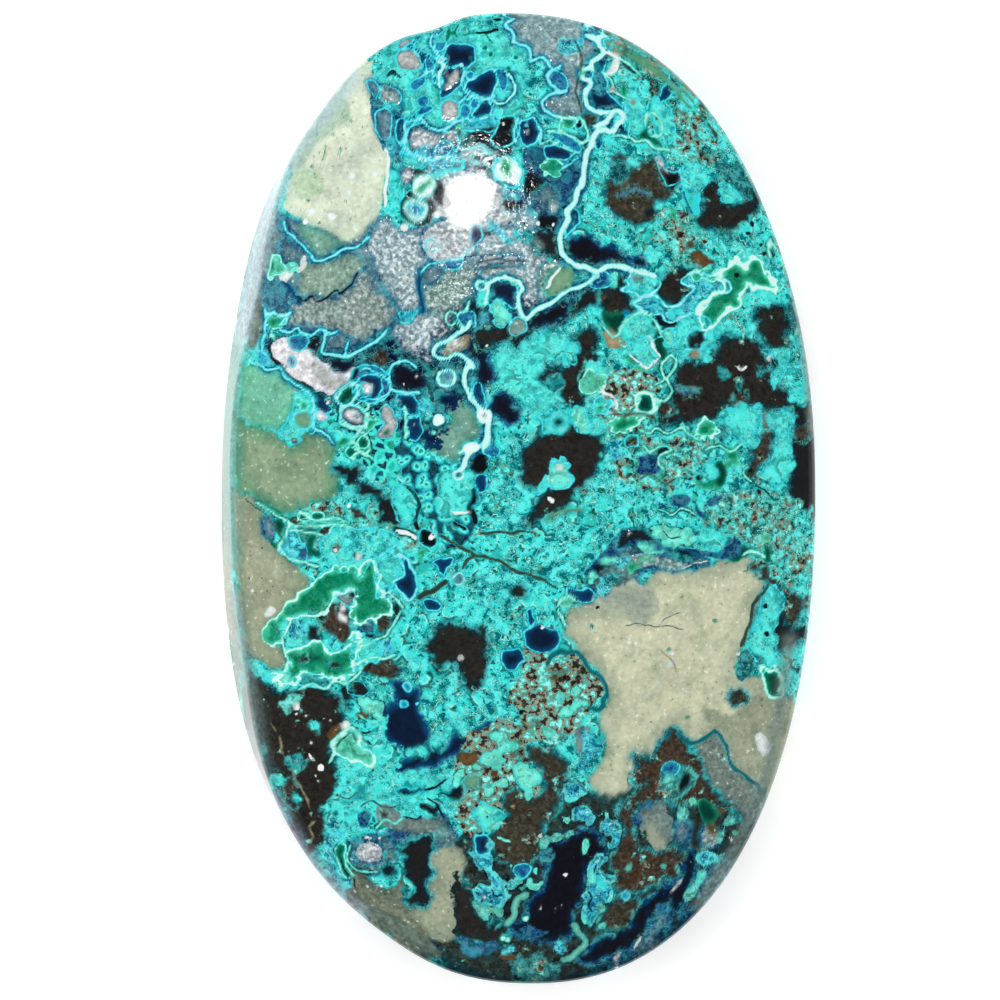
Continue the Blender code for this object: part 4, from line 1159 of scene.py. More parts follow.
night 527,172 536,174 544,182 542,190 532,196 524,192
lagoon 504,182 514,186 524,184 522,192 514,200 506,200 500,192
soot 502,200 512,198 522,202 518,210 506,210
cloud 512,214 522,210 534,212 540,220 532,229 520,228 512,222
sky 528,212 534,211 537,216 531,219
lagoon 514,230 524,227 532,234 528,243 518,242
sky 489,221 496,225 504,233 512,243 508,246 499,239 491,231
fog 532,199 540,191 546,185 553,190 558,195 560,208 552,213 544,206
chalk 550,208 556,205 554,212
night 538,216 556,217 555,228 540,228
black 535,232 548,230 560,234 564,246 566,258 556,260 546,254 538,244
stone_grey 531,238 540,239 545,247 537,250
blue:0 550,133 565,135 579,146 577,152 561,141
navy:0.6 544,147 560,147 574,152 568,160 552,158 545,156
indigo 566,160 578,158 584,166 582,180 574,190 568,182 564,170
emerald:1 540,165 548,161 556,160 562,167 554,175 545,171
stain 371,84 384,83 400,89 405,104 403,120 406,140 405,156 398,166 391,158 383,148 375,130 370,104
slate:1 366,82 374,80 382,92 376,98
gravel:1 380,90 390,88 399,93 401,101 392,104 382,101
lagoon 384,104 394,104 398,110 390,112
slate:1 376,112 386,108 392,116 391,128 388,140 382,140 376,128
navy 397,119 404,119 405,132 402,146 397,138
sky 386,142 394,138 396,146 390,154
sky 428,160 438,158 450,160 456,165 446,172 432,172
night 431,180 440,178 446,188 452,202 448,210 438,204 432,196
ice 414,178 424,175 434,178 436,187 432,196 420,198 412,191
emerald 419,182 427,181 430,186 427,192 420,193 418,187
night 404,196 412,192 420,200 430,198 436,206 430,222 418,226 406,222 400,212
ice 405,203 415,199 426,202 428,211 423,220 412,221 405,214
sky 408,206 416,203 423,206 424,213 419,217 411,216
blue:0 412,207 418,206 420,212 414,213
turquoise:0.8 396,180 402,184 401,196 396,200 392,190
moss_quartz 632,556 650,554 672,560 690,564 676,570 652,566 636,568
emerald 626,567 632,563 640,564 642,568 634,572 628,572
pea 640,558 650,556 654,560 646,563
lagoon 614,562 624,558 630,562 622,568
teal 604,578 614,572 622,574 618,584 608,588
lagoon 596,588 604,584 612,588 606,596 598,596
teal 668,552 682,553 696,558 690,562 676,560
night 594,568 602,562 606,566 598,574
mint 600,560 606,556 610,560 604,565
night 676,548 688,550 694,556 682,554
celadon 676,812 682,806 688,812 684,822 678,822
slate 676,824 684,820 690,828 688,840 680,842 674,834
gravel 702,832 712,828 720,834 716,844 704,844
celadon 722,826 727,818 733,815 738,819 734,825 728,827
celadon 716,840 722,832 726,830 724,838 719,843
teal 728,808 738,812 744,820 738,822 730,816
rust 707,824 715,822 717,829 712,834 707,830
rust 716,806 724,808 728,814 720,812
bottle 697,801 706,799 714,806 718,815 712,824 702,822 698,812
rust 709,828 716,827 718,833 711,836
pea 690,800 695,798 696,804 691,806
"""

# %% [markdown]
# ## Seams and cracks
#
# Pale seams of chrysocolla healed the stone's cracks, and finer threads outline the cells. Each is a path with a
# half width in pixels.

# %% Seams, then threads, cracks and streaks
SEAMS = """
vein:2.8 598,130 593,137 590,146 586,155 585,168 583,178 581,186 577,192 575,200 571,206 567,212 569,219 565,227
 561,236 561,246 564,256 572,263 584,267 596,271 606,267 614,266 626,268 640,272 654,277
milk:1.6 386,150 389,160 387,178 384,206
bottle:2.2 262,503 280,513
night:2 408,488 414,494 419,502 418,512 415,520 417,528
milk:1.6 454,512 470,512
night:2.5 474,490 475,498 470,506 474,514 475,522
night:1.8 455,524 466,528
crack:1.8 440,536 452,542 460,547 468,552 476,556 488,557 498,560 504,564 510,568 520,572 532,576 545,581
 556,588
crack:1.8 463,568 468,560 476,556
crack:1.6 480,533 490,534 502,532 512,534 522,531 534,533
crack:3 420,596 430,592 438,588 446,582
mint:2 558,605 562,600 570,597 575,600
mint:2 558,612 562,618 565,626
mint:1.8 744,554 750,550 758,552 764,556
crack:2 768,584 764,592 758,598 754,604 753,612 751,620 748,628 745,636 742,645
mint:2 774,666 780,674 782,684 779,692
teal:2.5 548,664 552,656 560,652 568,653 578,652 584,660 590,670 600,676 606,686 607,694 602,700 604,706 598,710
 590,708
teal:2.2 678,733 684,739 690,743 696,743 702,740 708,735 714,731 720,735 724,742 728,750 730,760 734,768 742,773
 748,779 756,784 760,792 762,800
mint:1.8 768,243 771,256
slate:1.8 636,187 640,191 648,194
slate:1.6 620,195 632,190
turquoise:3 550,418 556,414 564,417 566,425 560,431 551,429 550,418
thread:1.6 405,147 405,124 412,121 420,119 424,122 430,127 440,130 448,127 455,122 468,118
thread:1.8 405,148 412,153 420,156 430,160 440,158 450,157
thread:1.4 517,118 515,130 515,142
thread:1.4 534,117 541,130 539,143
vein:1.4 505,72 512,78 516,90 508,100 500,104 494,102
thread:1.4 430,43 438,55 446,58
thread:1.4 436,76 430,72 422,76
vein:1.6 438,60 444,66 438,74 440,86
thread:1.4 465,70 462,80 464,90 476,98 486,100 494,98
thread:1.4 458,104 464,98 470,100
thread:1.4 470,120 476,122 486,118
thread:1.4 530,62 540,58 546,60 550,66
thread:1.8 508,12 505,24 514,34 513,42 528,46 530,58
night:1.6 478,33 485,32 490,31 498,30
bottle:1.2 464,35 474,34
bottle:1.2 486,35 492,42
bottle:1.4 447,38 449,33 454,32 457,36
vein:1 462,150 476,146 490,152
milk:1 464,156 474,152 486,158 496,156
night:1.2 466,146 480,142 494,148 506,154
milk:1.2 482,160 492,164
vein:2.8 592,27 586,32 590,36 597,41 601,48 603,53 597,58 592,62 592,68
vein:2.6 592,69 584,69 580,74 583,79 590,81 590,86 586,92 586,100 590,108 597,112 608,112 615,111
vein:2.8 596,126 606,122 612,114 616,110 624,116 618,122 614,130 604,130 598,131
thread:1.6 530,62 540,58 546,60 550,66
thread:1.8 560,66 550,71 547,76 552,84 560,90 566,91
thread:1.8 566,91 556,93 548,96 543,101 542,106 548,112 560,118 575,119
mint:1.6 558,118 580,118 586,128 588,136 582,142 574,138 560,131 548,131
mint:1.6 612,136 626,136 636,140 646,140 656,148 668,150
mint:1.4 608,60 618,58 626,62 640,74
milk:1.6 606,52 614,56 618,62 616,70 608,74
mint:1.4 604,74 612,80 616,92 626,98 630,100
mint:1.6 646,122 648,114 654,112 662,124 660,136 652,136
crack:1.4 648,58 668,72 688,92 704,116 716,138
mint:1.4 612,40 640,52 668,70 690,92 708,116
olive:1.4 630,56 652,70 672,86 690,108
tan:1.2 656,66 676,82 694,102
chalk:0.8 568,54 578,54 578,66
crack:1.2 575,40 582,60 576,90 582,112
night:2 269,346 271,357 279,364 284,372 291,379 300,382 308,387 314,394 323,397
night:2 332,399 340,389 350,380 357,370
night:1.2 299,297 305,301 312,297 316,302 322,300 330,295 336,290 340,294 347,287 352,283 358,273
navy:1.6 284,282 292,291 299,303
thread:1.5 284,222 288,232 298,242 308,252 314,259 322,261 332,256 342,250 356,247 362,243 368,236
thread:1.6 266,310 270,315 274,312 280,316 291,312
thread:1.4 291,312 285,318 282,323 280,330 290,332 298,329 302,333 312,336 318,331 325,330 331,333 337,331
thread:1.7 325,331 324,342 322,352 332,355 345,357 352,355 364,348 374,344 382,336 387,331
thread:1.1 345,357 347,345 348,342
thread:1.6 266,310 266,325 263,340 262,350 266,356
thread:1.6 262,366 266,370 273,369 280,368 283,376 290,381 298,386 306,390 312,396 314,408 314,420 315,428
 323,433 329,437 334,443
thread:1.7 336,394 350,381 358,392 353,402 343,407 340,403 336,398 336,394
thread:1.5 340,407 340,424
mint:1.4 359,404 366,414 372,421
mint:1.4 368,404 369,416 363,428 356,436 350,444
mint:1.6 340,424 352,429 362,433 370,441 370,450 364,455 358,448 352,440
mint:1.4 352,458 360,452 372,459
thread:1.2 362,369 368,368 372,371 384,377 389,384 388,394
thread:1.6 398,361 391,367 390,380 390,388 396,392 408,392 420,392
thread:1.4 398,361 408,361 416,368
thread:1.2 388,394 380,398 374,404
mint:1.7 405,408 406,424 405,438
vein:2.5 470,322 466,328 456,334 448,341 438,345 433,351 437,357 447,358 455,355 462,356 469,361 474,366 467,368
 464,374 464,384 468,393 471,400 478,406 484,412
vein:3 488,422 487,438 484,447
vein:3 474,449 468,456 464,466 460,470
vein:1.8 447,369 453,372 455,378 452,384 446,386 440,383 438,376 441,371 447,369
night:1 469,338 476,352 484,366
navy:1.4 419,270 419,286 421,300 423,312 412,313 402,318
thread:1.2 420,272 430,264 441,262 450,260 462,258 470,250
thread:1.2 402,317 410,312 418,311
thread:1.2 426,240 432,239 437,243 437,249 432,252 427,249 426,244
milk:1.4 560,268 553,277 546,287
druzy:1 484,258 500,256 516,258
druzy:1 480,266 498,262 520,264
crack:0.9 476,262 500,260 524,262
crack:0.9 474,270 496,268 512,268
chalk:1.2 500,222 507,218 514,214
mint:1.5 470,302 466,310 458,314 450,312 446,318 449,325 457,323 464,329
vein:1.7 480,281 485,284 485,289 480,291 476,289 475,284 479,281
vein:2.2 484,304 487,294 489,285 496,279 504,277 512,280 519,283 522,289 518,296 519,305 521,312 525,318 531,314
 537,309 545,306 553,302 560,295 568,290 578,288 590,282 598,276
mint:1.4 282,640 285,650 288,658 288,666 282,672 272,674
mint:1.5 258,502 270,510 282,518 290,524 286,534 280,546 286,556 300,562 318,566
mint:1.3 290,524 310,527 330,524 352,528
mint:1.3 292,530 312,533 324,536
mint:1.3 300,512 318,521 334,518 346,522
mint:1.5 380,596 388,592 396,600 402,608
mint:1.4 352,640 362,646 374,640 386,634 394,624 400,612
mint:1.4 356,664 372,658 384,660 396,654
mint:1.4 300,690 312,684 326,690 334,682 346,684 356,676 362,668
night:1 301,528 318,530
crack:1 246,500 262,512 274,526 284,540
tan:0.8 250,590 254,600
mint:1.2 644,447 650,452 660,447 668,446 671,450 662,456 658,462 664,469 662,474
mint:1.4 656,386 664,379 661,368 665,360 672,355 677,364 671,374 667,381 672,392 664,401 656,398
mint:1.4 632,394 640,398 636,406 634,412 646,414 656,411 656,396 648,393
milk:1.1 650,338 655,349 660,357 653,363 647,368 638,362 630,356
milk:1.3 606,386 602,392 610,396 616,400 616,408
mint:1.2 640,430 650,434 656,428 668,434 680,428 690,434 700,440
mint:1.1 682,424 686,432 694,436
mint:1.2 706,450 720,446 730,452 742,444
mint:1.3 620,330 626,322 640,312 654,320 660,332
mint:1.2 604,326 612,336 618,334 628,322
rust:1.6 612,414 624,415 638,414 654,417
milk:1.3 737,366 741,370 745,367
mint:1.2 748,466 744,474 752,482
crack:1 640,480 652,474 664,484 676,478
night:0.9 756,486 764,490 772,498
mint:1 660,510 672,514 684,508 696,516
olive:1.2 548,520 560,512 580,510
tan:0.9 272,724 274,731
tan:1.2 279,738 281,748 283,754
tan:1 290,769 296,778 302,790 307,800 310,808
tan:1 314,822 309,828 312,836 310,842
mint:1.8 330,762 334,752 330,746 338,738 344,731 352,728 360,736 366,744
night:1 336,747 343,739 350,733 356,740
night:1 357,728 364,734 370,730
night:1 364,738 371,744
crack:1.1 362,806 372,802 384,808 396,806
crack:1 338,795 348,798 356,792
mint:1.2 376,828 386,820 396,824 404,818
night:1 338,842 334,850 340,860 344,870 352,878 354,886
mint:1 350,846 346,856 350,866 360,872 376,872
mint:1 360,716 372,722 384,718
mint:1.6 499,838 509,841
celadon:3.2 507,924 511,919 514,912 515,904 519,898 526,895
celadon:3 574,925 578,932 583,936 586,941 583,947 577,952 572,957 564,960
night:0.9 476,892 484,896 482,902
night:0.9 492,890 496,896 502,894
night:0.9 588,892 592,898 588,906 592,912
night:0.9 596,864 594,872
rose:1.1 672,891 682,880
chalk:1.1 634,948 641,938
druzy:1 614,960 620,954
night:1.2 398,792 412,793 424,790 436,786 446,780
night:1.2 442,792 452,795 459,788
night:1 428,798 436,802 440,810 444,818
night:1 404,817 416,819 422,816
crack:0.6 626,626 636,624 646,626 654,627 666,626 682,629
crack:0.5 662,622 670,616 680,612
tan:0.7 660,650 672,662 678,674
chalk:0.5 676,690 686,698 694,706
chalk:0.5 640,700 652,690 664,676
celadon:1.2 672,800 682,796 690,788 696,782
chalk:0.7 684,568 694,564 706,562
night:0.8 664,532 670,538 680,536
vein:2.8 598,130 593,137 590,146 586,155 585,168 583,178 581,186 577,192 575,200 571,206 567,212 569,219 565,227
 561,236 561,246 564,256 572,263 584,267 596,271 606,267 614,266 626,268 640,272 654,277
mint:1.3 540,143 550,141 560,146 572,152
thread:1 562,168 570,164 578,158
"""

# %% [markdown]
# ## Dots and eyes
#
# Round grains: each line gives a kind and a radius, then where the grains lie. Eyes are a dark grain over a pale
# one.

# %% Dots, the lower ones of each eye first
DOTS = """
milk:3 348,192 375,174 352,176 305,222
milk:4 331,217 312,212
teal:2.6 313,166
olive:2 322,120 342,114 318,135 333,135 326,146 320,152 325,153 323,159 320,167 341,148 338,155 362,128 352,122
 337,188 345,200 308,200 319,223 350,219
black:5 649,212
vein:7 458,475
night:3 458,475
night:3 752,224
night:2.5 748,234 761,245 765,254
rust:4 690,245
night:3 736,275
rust:3 604,297
blue:3 626,312
milk:2.5 550,499 552,500
turquoise:6 558,422
night:4 558,422
milk:2 252,590
milk:3 432,538
vein:7 459,579
slate:4.5 459,579
rose:3 461,658
milk:2.5 543,627
teal:3 592,627
night:3 598,608 766,606 766,634
olive:2.6 716,622 670,650 688,718
milk:2.4 672,654 738,654
peat:6 738,697
rust:3 555,677 578,673
night:3 521,712
thread:5 407,687
blue:2.5 407,687
thread:4.5 404,704
blue:2.4 404,704
thread:2.6 417,704
black:2 465,28
ice:2.4 462,65
milk:2 503,124
sky:2 526,124
moss_quartz:3 527,132
milk:1.6 413,134 418,140 424,134 430,141 436,138
sky:2.4 424,152 434,152 442,150
bottle:2.4 485,47 491,54 516,58 508,68 470,58
olive:2 384,86 390,82
ice:2 413,168 420,160
milk:3 580,27 585,27
rose:3 614,90 633,102
olive:3 633,102
bark:2.4 594,118 684,112
rust:2 708,165 700,118
emerald:2.4 584,73
night:1.6 611,58 656,118
ice:8 484,416
teal:1.8 484,415
ice:6.5 474,447 469,448
ice:6 438,420
blue:2.6 447,377
milk:1.6 328,402 403,384 487,345
rose:1.3 417,377 414,424
mint:3 272,336
night:3.4 295,440
chalk:1.2 295,439
sky:2 396,402 424,404 430,410
mint:2.4 434,432 461,452
milk:1.8 413,211
milk:1.6 484,326
emerald:2.4 512,284
teal:2 480,286
chalk:1.3 449,243 404,228 424,226 455,232 486,256
night:1.2 432,246 524,224
night:2 525,223
milk:1.4 344,618 341,605 247,606
chalk:1.2 272,560 276,570 330,612 340,630
night:1.6 300,628 290,636 306,568 386,628
rust:1.2 336,612 340,626
night:1.1 252,560 254,572 262,578 256,586 248,578 272,586 266,560 262,548 250,552 268,598
chalk:1 250,542 256,550 270,556 274,572 262,566
rust:1.6 744,400 802,433 690,355 716,408
milk:1.6 550,480 612,412 604,404 640,384 626,380
night:3 750,470 700,478
night:2 741,365 692,428
chalk:1.4 620,378 632,388 648,376 612,390
blue:2 688,484 648,464
emerald:2 660,476 684,470
black:1.6 614,456 630,462 606,452 662,474 690,472
chalk:1.4 296,714 306,716 324,719 330,721 278,707
milk:2.4 346,725 297,708
milk:1.6 316,776 373,879 368,886 381,887 381,839
black:2.8 335,814
black:1.8 347,808 349,783 396,748
teal:2.4 352,705
night:2 374,770 386,700
chalk:1.4 318,782 312,742
celadon:3.6 629,868
celadon:3 663,866 677,866 678,872
reef:5 626,896
mint:3.4 526,919
mint:3.2 503,938 508,940
milk:2.4 565,875
night:1.6 487,817 494,819 493,895 590,901
reef:4 490,845
milk:1.6 485,897 586,812 610,824
chalk:1.2 556,910 562,906 540,908
blue:2 641,808
rust:1.8 652,862 630,862
celadon:2.6 735,832 727,820
rose:2 630,534
milk:1.9 538,223 554,224
"""


# %% [markdown]
# ## Painted rim light and shade
#
# Some colour along the rim has no edge, and most of it is painted light and shade: a painted reflection of the light
# on the upper left wall, painted grey shade down the lower left wall, on the lower right flank and along the top and
# right rim, a painted lilac reflection low on the left and a band of painted shade along the bottom rim. A teal tint
# runs down the middle of the left wall. Each is a soft line of one kind's edge colour, in the camera's own pixels,
# that fades over the width after its colon.

# %% Painted rim light and shade
RIM_LIGHT_AND_SHADE = """
mist:10 352,78 296,150 276,190 258,240 247,290 240,340
tide:9 236,350 231,420 230,500 233,560
dusk:10 236,600 244,660 253,720 262,780
lilac:9 272,800 300,850 330,885 360,915
dusk:7 790,640 778,720 762,790 735,850 700,905
dusk:4 612,32 660,58 704,98 740,150 770,210 792,280 806,360 812,430
night:7 420,955 470,975 520,984 580,976 640,955 690,918
"""

# %% Read a table
def read_markings(table):
    """The table as a list of (kind, number after its colon, points in pixels)."""
    markings = []
    for word in table.split():
        if "," in word:
            markings[-1][2].append([float(part) for part in word.split(",")])
        else:
            kind, _, number = word.partition(":")
            markings.append((kind, float(number or 0), []))
    return [(kind, number, np.array(path)) for kind, number, path in markings]


areas, chips, seams, dots, rim_light_and_shade = (read_markings(table) for table in (AREAS, CHIPS, SEAMS, DOTS, RIM_LIGHT_AND_SHADE))
print(len(areas), "areas,", len(chips), "chips,", len(seams), "seams,", len(dots), "groups of dots")

# %% [markdown]
# ## Painting the points
#
# A photograph on the dome would be quick, but an image fixes the detail and can't be edited. Here each point of
# the mesh keeps numbers instead: how far inside a marking it lies, in pixels, and the marking's colour there.
# The distance varies smoothly from point to point, so the shader finds an edge between points as sharp as it
# likes. There are three layers, from the areas up to the seams, and one attribute for the surface's texture.


# %% Distances in the picture
def smooth_path(path, closed, steps=4):
    """A Catmull-Rom curve through the points, in short straight steps."""
    if closed:
        before, after, last = np.roll(path, 1, 0), np.roll(path, -1, 0), np.roll(path, -2, 0)
        start = path
    else:
        longer = np.vstack((2 * path[0] - path[1], path, 2 * path[-1] - path[-2]))
        before, start, after, last = longer[:-3], longer[1:-2], longer[2:-1], longer[3:]
    curve = []
    for t in np.arange(steps) / steps:
        bend = 2 * start + (after - before) * t
        bend = bend + (2 * before - 5 * start + 4 * after - last) * t**2
        bend = bend + (3 * start - before - 3 * after + last) * t**3
        curve.append(bend / 2)
    curve = np.stack(curve, axis=1).reshape(-1, 2)
    return curve if closed else np.vstack((curve, path[-1]))


def crystal_path(path, cut=0.14):
    """The closed path with each corner cut a little, as a crystal's outline."""
    after = np.roll(path, -1, 0)
    return np.stack((path + (after - path) * cut, after + (path - after) * cut), axis=1).reshape(-1, 2)


def path_distance(places, curve, closed):
    """Distance in pixels from places to a curve; with closed, positive inside it and negative outside."""
    ends = np.roll(curve, -1, 0) if closed else curve[1:]
    starts = curve if closed else curve[:-1]
    nearest = np.full(len(places), 1e12)
    inside = np.zeros(len(places), dtype=bool)
    x, y = places[:, 0], places[:, 1]
    for (ax, ay), (bx, by) in zip(starts, ends):
        dx, dy = bx - ax, by - ay
        along = np.clip(((x - ax) * dx + (y - ay) * dy) / (dx * dx + dy * dy + 1e-9), 0.0, 1.0)
        np.minimum(nearest, (x - ax - along * dx) ** 2 + (y - ay - along * dy) ** 2, out=nearest)
        if closed and ay != by:
            crosses = (ay > y) != (by > y)
            inside ^= crosses & (x < ax + (y - ay) * dx / dy)
    distance = np.sqrt(nearest)
    return np.where(inside, distance, -distance) if closed else distance


def side_distance(places, curve):
    """Distance in pixels from places to an open curve: positive to its left and negative to its right."""
    nearest = np.full(len(places), 1e12)
    side = np.ones(len(places))
    x, y = places[:, 0], places[:, 1]
    for (ax, ay), (bx, by) in zip(curve[:-1], curve[1:]):
        dx, dy = bx - ax, by - ay
        along = np.clip(((x - ax) * dx + (y - ay) * dy) / (dx * dx + dy * dy + 1e-9), 0.0, 1.0)
        away = (x - ax - along * dx) ** 2 + (y - ay - along * dy) ** 2
        closer = away < nearest
        nearest = np.where(closer, away, nearest)
        side = np.where(closer, np.where(dx * (y - ay) - dy * (x - ax) < 0, 1.0, -1.0), side)
    return side * np.sqrt(nearest)


def picture_noise(places, cell, seed):
    """Smooth noise between -1 and 1, with bumps one cell of pixels across."""
    grid = places / cell + 100.0
    corner = np.floor(grid).astype(np.int64)
    part = grid - corner
    part = part * part * (3 - 2 * part)
    total = 0.0
    for step_x in (0, 1):
        for step_y in (0, 1):
            mix = (corner[:, 0] + step_x) * 374761393 + (corner[:, 1] + step_y) * 668265263 + seed * 1274126177
            mix = (mix ^ (mix >> 13)) * 1274126177 & 0x7FFFFFFF
            value = ((mix ^ (mix >> 16)) & 0xFFFF) / 32767.5 - 1.0
            weight_x = part[:, 0] if step_x else 1 - part[:, 0]
            weight_y = part[:, 1] if step_y else 1 - part[:, 1]
            total = total + value * weight_x * weight_y
    return total


# %% Layers of paint
REACH = 14.0
SIDE_LIMIT = 1.3


def linear(colour):
    """An sRGB colour of 0 to 255 as linear light."""
    part = np.asarray(colour, dtype=float) / 255
    return np.where(part <= 0.04045, part / 12.92, ((part + 0.055) / 1.055) ** 2.4)


class Layer:
    """One layer of paint: a colour and a cover for every point. Cover is 0 on a marking's edge."""

    def __init__(self):
        self.colour = np.zeros((len(pixels), 3))
        self.cover = np.full(len(pixels), -4.0)
        self.sides = np.full((len(pixels), 2), -4.0)

    def paint(self, kind, inside, where, sides=None):
        """Lay a kind over the points where, given how many pixels inside its edge each one is."""
        edge, core, band, soft, texture = KINDS[kind]
        cover = np.clip(inside / soft, -4.0, 4.0)
        under = np.exp(4 * np.minimum(self.cover[where], 0.0))
        over = np.exp(np.clip(1.5 * inside, -30.0, 30.0))
        share = (over / (over + under))[:, None]
        depth = np.clip(inside / band, 0.0, 1.0)[:, None]
        fresh = linear(edge) * (1 - depth) + linear(core) * depth
        self.colour[where] = self.colour[where] * (1 - share) + fresh * share
        if sides is not None:
            nearer = cover > self.cover[where]
            self.sides[where[nearer]] = np.minimum(sides, SIDE_LIMIT)[nearer] / soft
        self.cover[where] = np.maximum(self.cover[where], cover)
        shown = np.clip(inside / 2 + 0.5, 0.0, 1.0)[:, None]
        surface[where] = surface[where] * (1 - shown) + np.array(texture, dtype=float) * shown
        pattern[where] = pattern[where] * (1 - shown) + np.array(PATTERNS.get(kind, (0, 0, 0, 0)), dtype=float) * shown


def wandering(coarse, fine, seed):
    """The points' pixels, moved a little by noise, so that no outline is quite smooth."""
    shifts = [picture_noise(pixels, 12, s) * coarse + picture_noise(pixels, 5, s + 5) * fine for s in (seed, seed + 1)]
    return pixels + np.stack(shifts, axis=1)


rough_places = wandering(2.2, 1.6, 1)
clean_places = wandering(1.0, 0.9, 31)
surface = np.tile(np.array((0.15, 1.0, 0.0, 0.2)), (len(pixels), 1))
pattern = np.zeros((len(pixels), 4))
area_paint, mass_paint, chip_paint, seam_paint = Layer(), Layer(), Layer(), Layer()


def near(path, reach):
    """Indices of the points that lie within reach of the path's box."""
    low, high = path.min(0) - reach, path.max(0) + reach
    return np.nonzero(np.all((pixels > low) & (pixels < high), axis=1))[0]


def paint_seam(kind, half_width, offset, where):
    """Paint a band of a half width about offset 0, where offset has a sign for each side."""
    sides = np.stack((half_width - offset, half_width + offset), axis=1)
    seam_paint.paint(kind, sides.min(axis=1), where, sides)


# %% Lay on the areas, chips, seams and dots
HALOS = {
    "soot": ("shadow", 5.0), "black": ("shadow", 4.0), "peat": ("shadow", 3.5), "bark": ("shadow", 3.0),
    "ink": ("stain", 4.0), "navy": ("stain", 2.5), "silver": ("stain", 4.0), "slate": ("stain", 3.0),
    "lichen": ("stain", 3.0), "gravel": ("stain", 3.5), "druzy": ("stain", 4.5), "cloud": ("stain", 3.0),
    "mint": ("night", 1.3), "reef": ("night", 1.6), "celadon": ("night", 1.3), "turquoise": ("shadow", 1.4),
    "fog": ("stain", 4.0), "moss_quartz": ("stain", 3.0), "cream": ("verdigris", 4.0), "khaki": ("verdigris", 3.0),
    "olive": ("verdigris", 3.5), "vein": ("stain", 3.5), "thread": ("stain", 2.5), "blue": ("stain", 2.0),
}
RIMS = {"navy": ("thread", 1.0), "blue": ("thread", 1.0)}
GROWN_RIMS = {"emerald": "frost", "pea": "frost", "bottle": "frost", "celery": "chalk", "milk": "night"}

CRYSTALS = "snow pearl navy slate steel silver druzy shard sage celery fern stone_grey".split()


LUMPS = {
    "emerald": 3.2, "pea": 2.0, "turquoise": 2.6, "water": 2.6, "mint": 2.4, "sky": 1.6, "reef": 2.4, "celadon": 1.8,
    "tarn": 2.6, "thicket": 2.0, "grit": 3.0,
    "lagoon": 1.6, "soot": -3.2, "black": -2.6, "peat": -3.0, "bark": -2.6, "ink": -2.6, "navy": -0.8,
}


def outline(kind, path):
    """A marking's closed outline: straight-sided for a crystal, and curved for all else."""
    return crystal_path(path) if kind in CRYSTALS else smooth_path(path, True)


def lumpy(kind, where):
    """How far the kind's edge bulges at the points, in round lumps with sharp notches between them."""
    return LUMPS.get(kind, 0.0) * (2 * np.abs(picture_noise(pixels[where], 8, 71)) - 0.6)


for kind, _, path in areas:
    where = near(path, REACH)
    inside = path_distance(rough_places[where], outline(kind, path), True) + lumpy(kind, where)
    if kind in HALOS:
        halo, width = HALOS[kind]
        area_paint.paint(halo, inside + width, where)
    (mass_paint if KINDS[kind][3] >= 4 else area_paint).paint(kind, inside, where)
for kind, rim, path in chips:
    where = near(path, REACH)
    inside = path_distance(clean_places[where], outline(kind, path), True) + lumpy(kind, where)
    if kind in HALOS:
        halo, width = HALOS[kind]
        area_paint.paint(halo, inside + width, where)
    chip_paint.paint(kind, inside, where)
    if rim > 0 or kind in RIMS:
        rim_kind, half_width = RIMS.get(kind, (GROWN_RIMS.get(kind, "thread"), rim))
        half_width = max(half_width, rim) * 0.8
        paint_seam(rim_kind, half_width, inside + half_width, where)
for kind, half_width, path in seams:
    where = near(path, REACH)
    offset = side_distance(clean_places[where], smooth_path(path, False))
    if kind in HALOS:
        halo, width = HALOS[kind]
        area_paint.paint(halo, half_width + width - np.abs(offset), where)
    paint_seam(kind, half_width, offset, where)
for kind, radius, places in dots:
    for place in places:
        where = near(place[None], REACH)
        inside = radius - np.hypot(*(clean_places[where] - place).T)
        seam_paint.paint(kind, inside, where, np.stack((inside, inside), axis=1))
# Lay the painted reflections and shade along the rim, each fading with distance from its line
RIM_PAINT_STRENGTH = 0.75
rim_paint = np.zeros((len(points), 4))
for kind, width, path in rim_light_and_shade:
    away = np.abs(side_distance(seen, smooth_path(path, False)))
    amount = RIM_PAINT_STRENGTH * np.exp(-((away / width) ** 2))[:, None]
    rim_paint[:, :3] = rim_paint[:, :3] * (1 - amount) + linear(KINDS[kind][0]) * amount
    rim_paint[:, 3:] = rim_paint[:, 3:] * (1 - amount) + amount
rim_paint[:, :3] /= np.maximum(rim_paint[:, 3:], 0.001)
for name, layer in (("areas", area_paint), ("masses", mass_paint), ("chips", chip_paint), ("seams", seam_paint)):
    print(name, "cover", f"{(layer.cover > 0).mean():.0%} of the points")


# %% Keep the paint on the mesh
def keep(name, values):
    """Store four numbers for each point as an attribute that the shader reads."""
    attribute = stone.data.attributes.new(name, "FLOAT_COLOR", "POINT")
    attribute.data.foreach_set("color", np.ascontiguousarray(values, dtype=np.float32).ravel())


for name, layer in (("areas", area_paint), ("masses", mass_paint), ("chips", chip_paint)):
    keep(name, np.column_stack((layer.colour, layer.cover)))
keep("seams", np.column_stack((seam_paint.colour, seam_paint.sides[:, 0])))
keep("texture", surface)
keep("pattern", pattern)
keep("rim_light_and_shade", rim_paint)
DULL_SPOT = (466.0, 203.0)
DULL_REACH = 52.0
pits = np.exp(-(np.hypot(*(pixels - DULL_SPOT).T) / DULL_REACH) ** 2)
pit_values = stone.data.attributes.new("pits", "FLOAT", "POINT")
pit_values.data.foreach_set("value", np.maximum(pits, surface[:, 2]).astype(np.float32))
other_side = stone.data.attributes.new("seam_side", "FLOAT", "POINT")
other_side.data.foreach_set("value", np.ascontiguousarray(seam_paint.sides[:, 1], dtype=np.float32))

